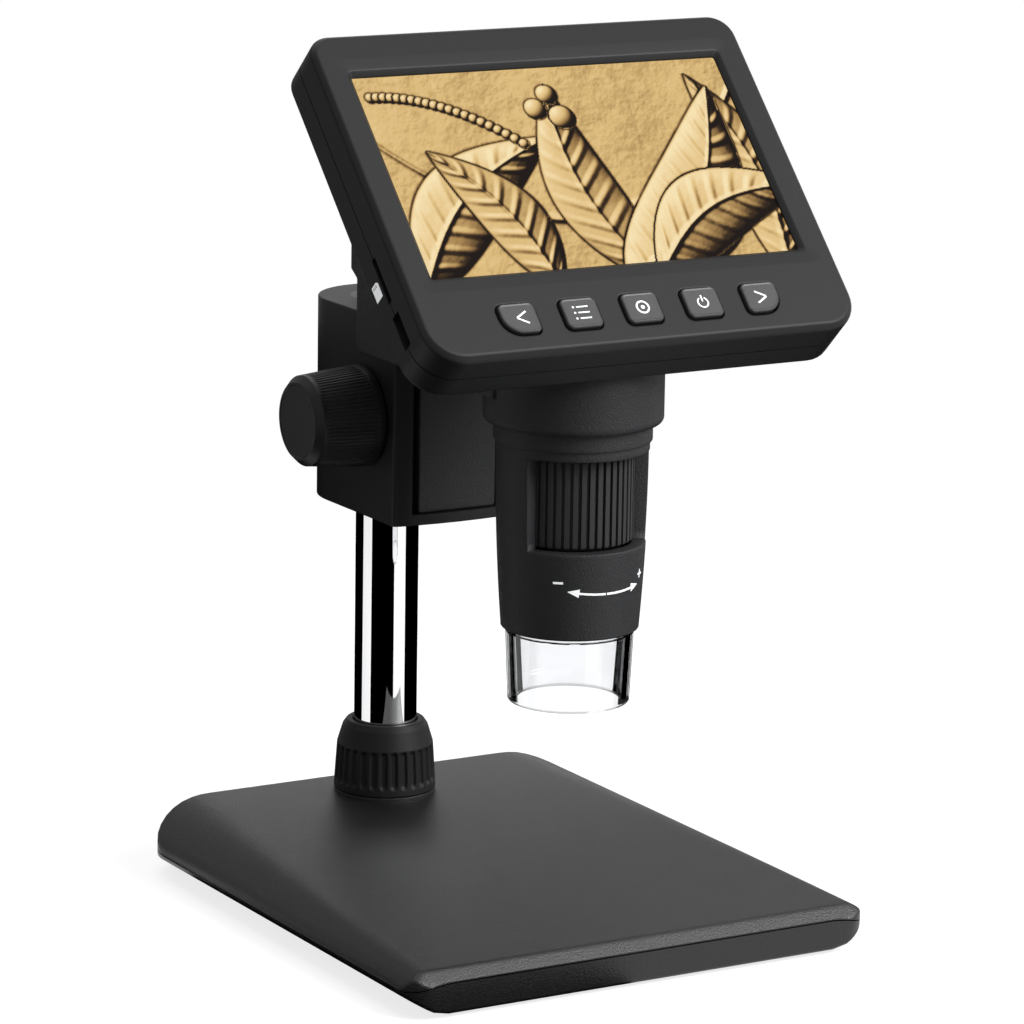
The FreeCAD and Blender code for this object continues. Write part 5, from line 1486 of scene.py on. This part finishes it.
def relief_picture(width, height, columns, rows):
    """A generic relief, as heights that are then lit from the upper left: six leaves with veins and a stem
    over a lightly grained field, a row of beads and three berries. Returns the colour of each grid point."""
    rng = np.random.default_rng(11)
    x = np.linspace(-width / 2, width / 2, columns)[None, :] + np.zeros((rows, 1))
    y = np.linspace(-height / 2, height / 2, rows)[:, None] + np.zeros((1, columns))

    def drift(cell, amount):
        """Smooth random heights: random values on a coarse grid, blended between its points."""
        nx, ny = int(width / cell) + 3, int(height / cell) + 3
        coarse = rng.standard_normal((ny, nx))
        gx = (x + width / 2) / cell
        gy = (y + height / 2) / cell
        ix, iy = gx.astype(int), gy.astype(int)
        fx, fy = gx - ix, gy - iy
        fx, fy = fx * fx * (3 - 2 * fx), fy * fy * (3 - 2 * fy)
        return amount * ((coarse[iy, ix] * (1 - fx) + coarse[iy, ix + 1] * fx) * (1 - fy)
                         + (coarse[iy + 1, ix] * (1 - fx) + coarse[iy + 1, ix + 1] * fx) * fy)
    field = drift(9.0, 0.10) + drift(3.0, 0.045) + drift(1.1, 0.022) + drift(0.5, 0.014)
    heights = field.copy()
    cut = np.zeros_like(x)

    def leaf(cx, cy, length, broad, turn, curl, lift, veins):
        """Leaf about a bent midrib: width follows the sine of the share along it, height rises to the midrib,
        and side veins are ridges that sweep towards the tip."""
        nonlocal heights, cut
        a = math.radians(turn)
        u = (x - cx) * math.cos(a) + (y - cy) * math.sin(a)
        w = -(x - cx) * math.sin(a) + (y - cy) * math.cos(a)
        share = u / length
        w = w - curl * length * np.sin(np.clip(share, 0, 1) * math.pi)
        half = broad * np.sin(np.clip(share, 0, 1) ** 0.8 * math.pi) ** 0.85
        across = np.abs(w) / np.maximum(half, 1e-3)
        inside = (share > 0) & (share < 1) & (across < 1)
        dome = lift * np.sqrt(np.maximum(1 - across ** 2, 0)) * 0.8 + lift * 0.35 * (1 - across)
        phase = share * veins - across * 1.1
        ridge = np.abs(np.mod(phase, 1) - 0.5) * 2
        dome = dome + lift * 0.16 * smooth_step(ridge, 0.35, 1.0) * (1 - across ** 3)
        rib = np.exp(-(w / (0.32 + 0.5 * (1 - np.clip(share, 0, 1)))) ** 2)
        dome = dome + lift * 0.35 * rib * (1 - 0.6 * share)
        heights = np.where(inside, dome + field * 0.5, heights)
        edge = np.abs(across - 1) * np.maximum(half, 0.2)
        line = np.where((share > -0.01) & (share < 1.01), np.exp(-(edge / 0.4) ** 2), 0)
        cut = np.where(inside, line, np.maximum(cut, line))

    def bead(cx, cy, radius, lift):
        nonlocal heights, cut
        r = np.sqrt((x - cx) ** 2 + (y - cy) ** 2)
        heights = np.where(r < radius, lift * np.sqrt(np.maximum(1 - (r / radius) ** 2, 0)), heights)
        line = np.exp(-((r - radius) / 0.28) ** 2)
        cut = np.where(r < radius, line, np.maximum(cut, line))

    stem = 1.3 * np.exp(-((y - (-15 + 0.012 * (x + 8) ** 2 - 0.1 * x)) / 1.0) ** 2)
    heights = np.maximum(heights, stem + field)
    leaf(-50, -30, 60, 10.0, 40, 0.10, 3.6, 10)
    leaf(10, -34, 58, 9.5, 100, 0.10, 3.2, 10)
    leaf(44, -34, 58, 9.0, 96, -0.10, 3.0, 11)
    leaf(2, -32, 66, 12.5, 52, -0.12, 4.2, 12)
    leaf(10, -31, 54, 10.0, 24, 0.14, 3.6, 10)
    leaf(-16, -32, 44, 8.5, 118, -0.10, 3.2, 9)
    for i in range(21):
        t = i / 20
        bead(-45 + 34 * t, 22 - 15 * t ** 2, 1.45, 1.7)
    for cx, cy, radius in ((1.5, 13.5, 3.4), (-4.4, 16.2, 3.0), (-0.2, 20.0, 2.8)):
        bead(cx, cy, radius, 2.8)
    step_x = width / (columns - 1)
    step_y = height / (rows - 1)
    slope_y, slope_x = np.gradient(heights, step_y, step_x)
    normal = np.stack([-slope_x, -slope_y, np.full_like(x, 1.25)], axis=-1)
    normal = normal / np.linalg.norm(normal, axis=-1, keepdims=True)
    light = np.array([-0.52, 0.62, 0.58])
    light = light / np.linalg.norm(light)
    lit = np.clip(normal @ light, 0, 1)
    between = light + np.array([0, 0, 1.0])
    shine = np.clip(normal @ (between / np.linalg.norm(between)), 0, 1) ** 26
    tone = -0.16 + 1.36 * lit + 0.2 * shine
    tone = tone * (1 - 0.85 * cut) + drift(14.0, 0.03) + drift(1.6, 0.018)
    tone = np.clip(tone, 0, 1.25)
    stops = np.array([0.0, 0.2, 0.42, 0.66, 0.9, 1.25])
    colours = np.array([(0.006, 0.002, 0.0005), (0.045, 0.022, 0.007), (0.36, 0.21, 0.07),
                        (0.70, 0.48, 0.195),
                        (0.80, 0.58, 0.275), (0.92, 0.75, 0.44)])
    return np.stack([np.interp(tone, stops, colours[:, k]) for k in range(3)], axis=-1)


def picture_piece():
    columns, rows = 392, 224
    width, height = WINDOW_WIDTH + 0.6, WINDOW_HEIGHT + 0.6
    x, v = np.meshgrid(np.linspace(-width / 2, width / 2, columns),
                       np.linspace(-height / 2, height / 2, rows))
    front = INNER_N + 0.35
    top = np.stack([x, v, np.full_like(x, front)], axis=-1).reshape(-1, 3)
    faces = grid_faces(rows, columns, wrap_columns=False)
    rim = np.concatenate([np.arange(columns), np.arange(1, rows) * columns + columns - 1,
                          (rows - 1) * columns + np.arange(columns - 2, -1, -1),
                          np.arange(rows - 2, 0, -1) * columns])
    under = top[rim] - np.array([0, 0, 0.6])
    start = len(top)
    ring = list(range(len(rim)))
    sides = [[int(rim[k]), start + k, start + (k + 1) % len(rim), int(rim[(k + 1) % len(rim)])] for k in ring]
    points = np.concatenate([top, under])
    made = piece("picture", from_screen(points), faces + sides + [[start + k for k in ring]], "head",
                 picture_light,
                 (), smooth=40)
    mesh = made.data
    flat = np.zeros(len(mesh.vertices) * 3, np.float32)
    mesh.vertices.foreach_get("co", flat)
    place = flat.reshape(-1, 3) / MM - screen_origin
    across = place[:, 0]
    up = place @ SCREEN_UP
    colours = relief_picture(width, height, columns, rows)
    j = np.clip(np.rint((across + width / 2) / width * (columns - 1)).astype(int), 0, columns - 1)
    i = np.clip(np.rint((up + height / 2) / height * (rows - 1)).astype(int), 0, rows - 1)
    values = np.column_stack([colours[i, j], np.ones(len(place))]).astype(np.float32)
    attribute = mesh.color_attributes.new("picture", "FLOAT_COLOR", "POINT")
    attribute.data.foreach_set("color", values.ravel())


# Studio

BACKDROP_NEAR = 0.20
BACKDROP_FAR = 0.55


def floor_finish():
    """Pale floor that keeps the object's shadow near it and fades into the white background."""
    material = bpy.data.materials.new("floor")
    material.use_nodes = True
    tree = material.node_tree
    tree.nodes.clear()
    place = tree.nodes.new("ShaderNodeTexCoord").outputs["Object"]
    length = tree.nodes.new("ShaderNodeVectorMath")
    length.operation = "LENGTH"
    tree.links.new(place, length.inputs[0])
    fade = tree.nodes.new("ShaderNodeMapRange")
    fade.interpolation_type = "SMOOTHSTEP"
    tree.links.new(length.outputs["Value"], fade.inputs["Value"])
    fade.inputs["From Min"].default_value = BACKDROP_NEAR
    fade.inputs["From Max"].default_value = BACKDROP_FAR
    diffuse = tree.nodes.new("ShaderNodeBsdfDiffuse")
    diffuse.inputs["Color"].default_value = (0.32, 0.32, 0.32, 1)
    lift = tree.nodes.new("ShaderNodeEmission")
    lift.inputs["Strength"].default_value = 0.78
    near = tree.nodes.new("ShaderNodeAddShader")
    tree.links.new(diffuse.outputs[0], near.inputs[0])
    tree.links.new(lift.outputs[0], near.inputs[1])
    white = tree.nodes.new("ShaderNodeEmission")
    white.inputs["Strength"].default_value = 1.0
    seen = tree.nodes.new("ShaderNodeMixShader")
    tree.links.new(fade.outputs["Result"], seen.inputs[0])
    tree.links.new(near.outputs[0], seen.inputs[1])
    tree.links.new(white.outputs[0], seen.inputs[2])
    path = tree.nodes.new("ShaderNodeLightPath")
    looking = math_node(tree, "MAXIMUM", path.outputs["Is Camera Ray"],
                        math_node(tree, "MAXIMUM", path.outputs["Is Glossy Ray"],
                                  path.outputs["Is Transmission Ray"]))
    choose = tree.nodes.new("ShaderNodeMixShader")
    tree.links.new(looking, choose.inputs[0])
    tree.links.new(diffuse.outputs[0], choose.inputs[1])
    tree.links.new(seen.outputs[0], choose.inputs[2])
    out = tree.nodes.new("ShaderNodeOutputMaterial")
    tree.links.new(choose.outputs[0], out.inputs["Surface"])
    return material


def studio():
    """White background for the camera, glossy and transmitted rays, and a plain grey sky for the rest."""
    world = bpy.data.worlds.new("studio")
    bpy.context.scene.world = world
    world.use_nodes = True
    tree = world.node_tree
    tree.nodes.clear()
    path = tree.nodes.new("ShaderNodeLightPath")
    looking = math_node(tree, "MAXIMUM", path.outputs["Is Camera Ray"],
                        math_node(tree, "MAXIMUM", path.outputs["Is Glossy Ray"],
                                  path.outputs["Is Transmission Ray"]))
    sky = tree.nodes.new("ShaderNodeBackground")
    sky.inputs["Color"].default_value = (0.98, 0.99, 1.0, 1)
    sky.inputs["Strength"].default_value = SKY_STRENGTH
    white = tree.nodes.new("ShaderNodeBackground")
    white.inputs["Strength"].default_value = 1.0
    mix = tree.nodes.new("ShaderNodeMixShader")
    tree.links.new(looking, mix.inputs[0])
    tree.links.new(sky.outputs[0], mix.inputs[1])
    tree.links.new(white.outputs[0], mix.inputs[2])
    out = tree.nodes.new("ShaderNodeOutputWorld")
    tree.links.new(mix.outputs[0], out.inputs["Surface"])

    half = 4.0
    mesh = bpy.data.meshes.new("floor")
    corners = [(-half, -half, 0), (half, -half, 0), (half, half, 0), (-half, half, 0)]
    mesh.from_pydata(corners, [], [(0, 1, 2, 3)])
    floor = bpy.data.objects.new("floor", mesh)
    floor.location.z = -0.0002
    mesh.materials.append(floor_finish())
    bpy.context.scene.collection.objects.link(floor)


SKY_STRENGTH = 0.4
TARGET = Vector((0.0, -0.01, 0.12))


def softbox(name, azimuth, elevation, distance, size, power):
    """Area lamp that faces the object from an azimuth (0 in front, 90 to its right) and an elevation."""
    a, e = math.radians(azimuth), math.radians(elevation)
    way = Vector((math.sin(a) * math.cos(e), -math.cos(a) * math.cos(e), math.sin(e)))
    data = bpy.data.lights.new(name, "AREA")
    data.shape = "RECTANGLE"
    data.size, data.size_y = size
    data.energy = power
    lamp = bpy.data.objects.new(name, data)
    lamp.location = TARGET + way * distance
    lamp.rotation_mode = "QUATERNION"
    lamp.rotation_quaternion = (-way).to_track_quat("-Z", "Y")
    bpy.context.scene.collection.objects.link(lamp)
    return lamp


def dark_card(name, rows, through=False, grey=0.0):
    """Black or grey card over a grid of points, seen only in reflections, or only through clear pieces."""
    grid = np.asarray(rows, float)
    mesh = bpy.data.meshes.new(name)
    mesh.from_pydata(grid.reshape(-1, 3).tolist(), [], grid_faces(*grid.shape[:2], wrap_columns=False))
    material = bpy.data.materials.new(name)
    material.use_nodes = True
    shader = material.node_tree.nodes["Principled BSDF"]
    shader.inputs["Base Color"].default_value = (0.0, 0.0, 0.0, 1)
    shader.inputs["Specular IOR Level"].default_value = 0.0
    shader.inputs["Emission Color"].default_value = (1.0, 1.0, 1.0, 1)
    shader.inputs["Emission Strength"].default_value = grey
    mesh.materials.append(material)
    card = bpy.data.objects.new(name, mesh)
    card.visible_camera = False
    card.visible_diffuse = False
    card.visible_glossy = not through
    card.visible_transmission = through
    card.visible_shadow = False
    bpy.context.scene.collection.objects.link(card)


def dark_sector(name, centre_y, start, stop, rows, through=False, grey=0.0):
    """Black sheet about an upright axis between two azimuths, through rows of (reach, height) in metres."""
    a = np.radians(np.linspace(start, stop, 40))[None, :]
    reach = np.array([row[0] for row in rows])[:, None]
    height = np.array([row[1] for row in rows])[:, None]
    x = reach * np.sin(a)
    y = centre_y * MM - reach * np.cos(a)
    dark_card(name, np.stack([x, y, height + 0 * a], axis=-1), through, grey)


def lights():
    softbox("key_light", 36.0, 33.0, 0.95, (0.6, 0.5), 12.0)
    softbox("top_light", 0.0, 72.0, 0.9, (0.7, 0.7), 2.8)
    softbox("back_light", 185.0, 50.0, 1.0, (0.8, 0.5), 2.0)
    on_floor = ((0.02, -0.0001), (0.46, -0.0001))
    dark_sector("dark_floor_front", column_y, -85.0, -1.4, on_floor)
    dark_sector("dark_floor_back", column_y, 42.6, 236.0, on_floor)
    dark_sector("grey_wall_left", column_y, -192.0, -60.0, ((0.36, 0.03), (0.36, 0.6)), False, 0.3)
    dark_sector("grey_wall_front", column_y, -60.0, -4.0, ((0.42, 0.03), (0.42, 0.30)), False, 0.35)
    wall_x, wall_z = np.meshgrid([-0.055, 0.3], [0.062, 0.125])
    dark_card("dark_card_back", np.stack([wall_x, np.full_like(wall_x, 0.10), wall_z], axis=-1))
    through = ((0.08, -0.0001), (0.5, -0.0001), (0.5, 0.2))
    dark_sector("dark_through_left", tube_y, 163.0, 262.0, through, True)
    dark_sector("dark_through_right", tube_y, 37.0, 136.0, through, True)


def camera():
    """The photograph's view: its place, heading, downward tilt and slight roll, and its long lens."""
    data = bpy.data.cameras.new("view")
    data.sensor_width = 36.0
    focal_pixels, picture_pixels = 4916.0, 1024.0
    data.lens = focal_pixels / picture_pixels * data.sensor_width
    data.clip_start, data.clip_end = 0.05, 50.0
    heading, tilt, roll = math.radians(30.372), math.radians(12.476), math.radians(0.914)
    turn = (Matrix.Rotation(-heading, 4, "Z") @ Matrix.Rotation(math.pi / 2 - tilt, 4, "X")
            @ Matrix.Rotation(roll, 4, "Z"))
    view = bpy.data.objects.new("view", data)
    view.matrix_world = Matrix.Translation((-0.5695, -0.9788, 0.3469)) @ turn
    bpy.context.scene.collection.objects.link(view)
    bpy.context.scene.camera = view


bpy.context.scene.view_settings.view_transform = "Standard"
finish_nodes()
base_pieces()
column_pieces()
collar_piece()
bracket_pieces()
drive_knobs()
clamp_piece()
front_bezel()
back_cover()
key_pieces()
key_marks()
card_mark()
rear_piece()
neck_piece()
tube_piece()
wheel_piece()
tube_marks()
cap_piece()
picture_piece()
studio()
lights()
camera()
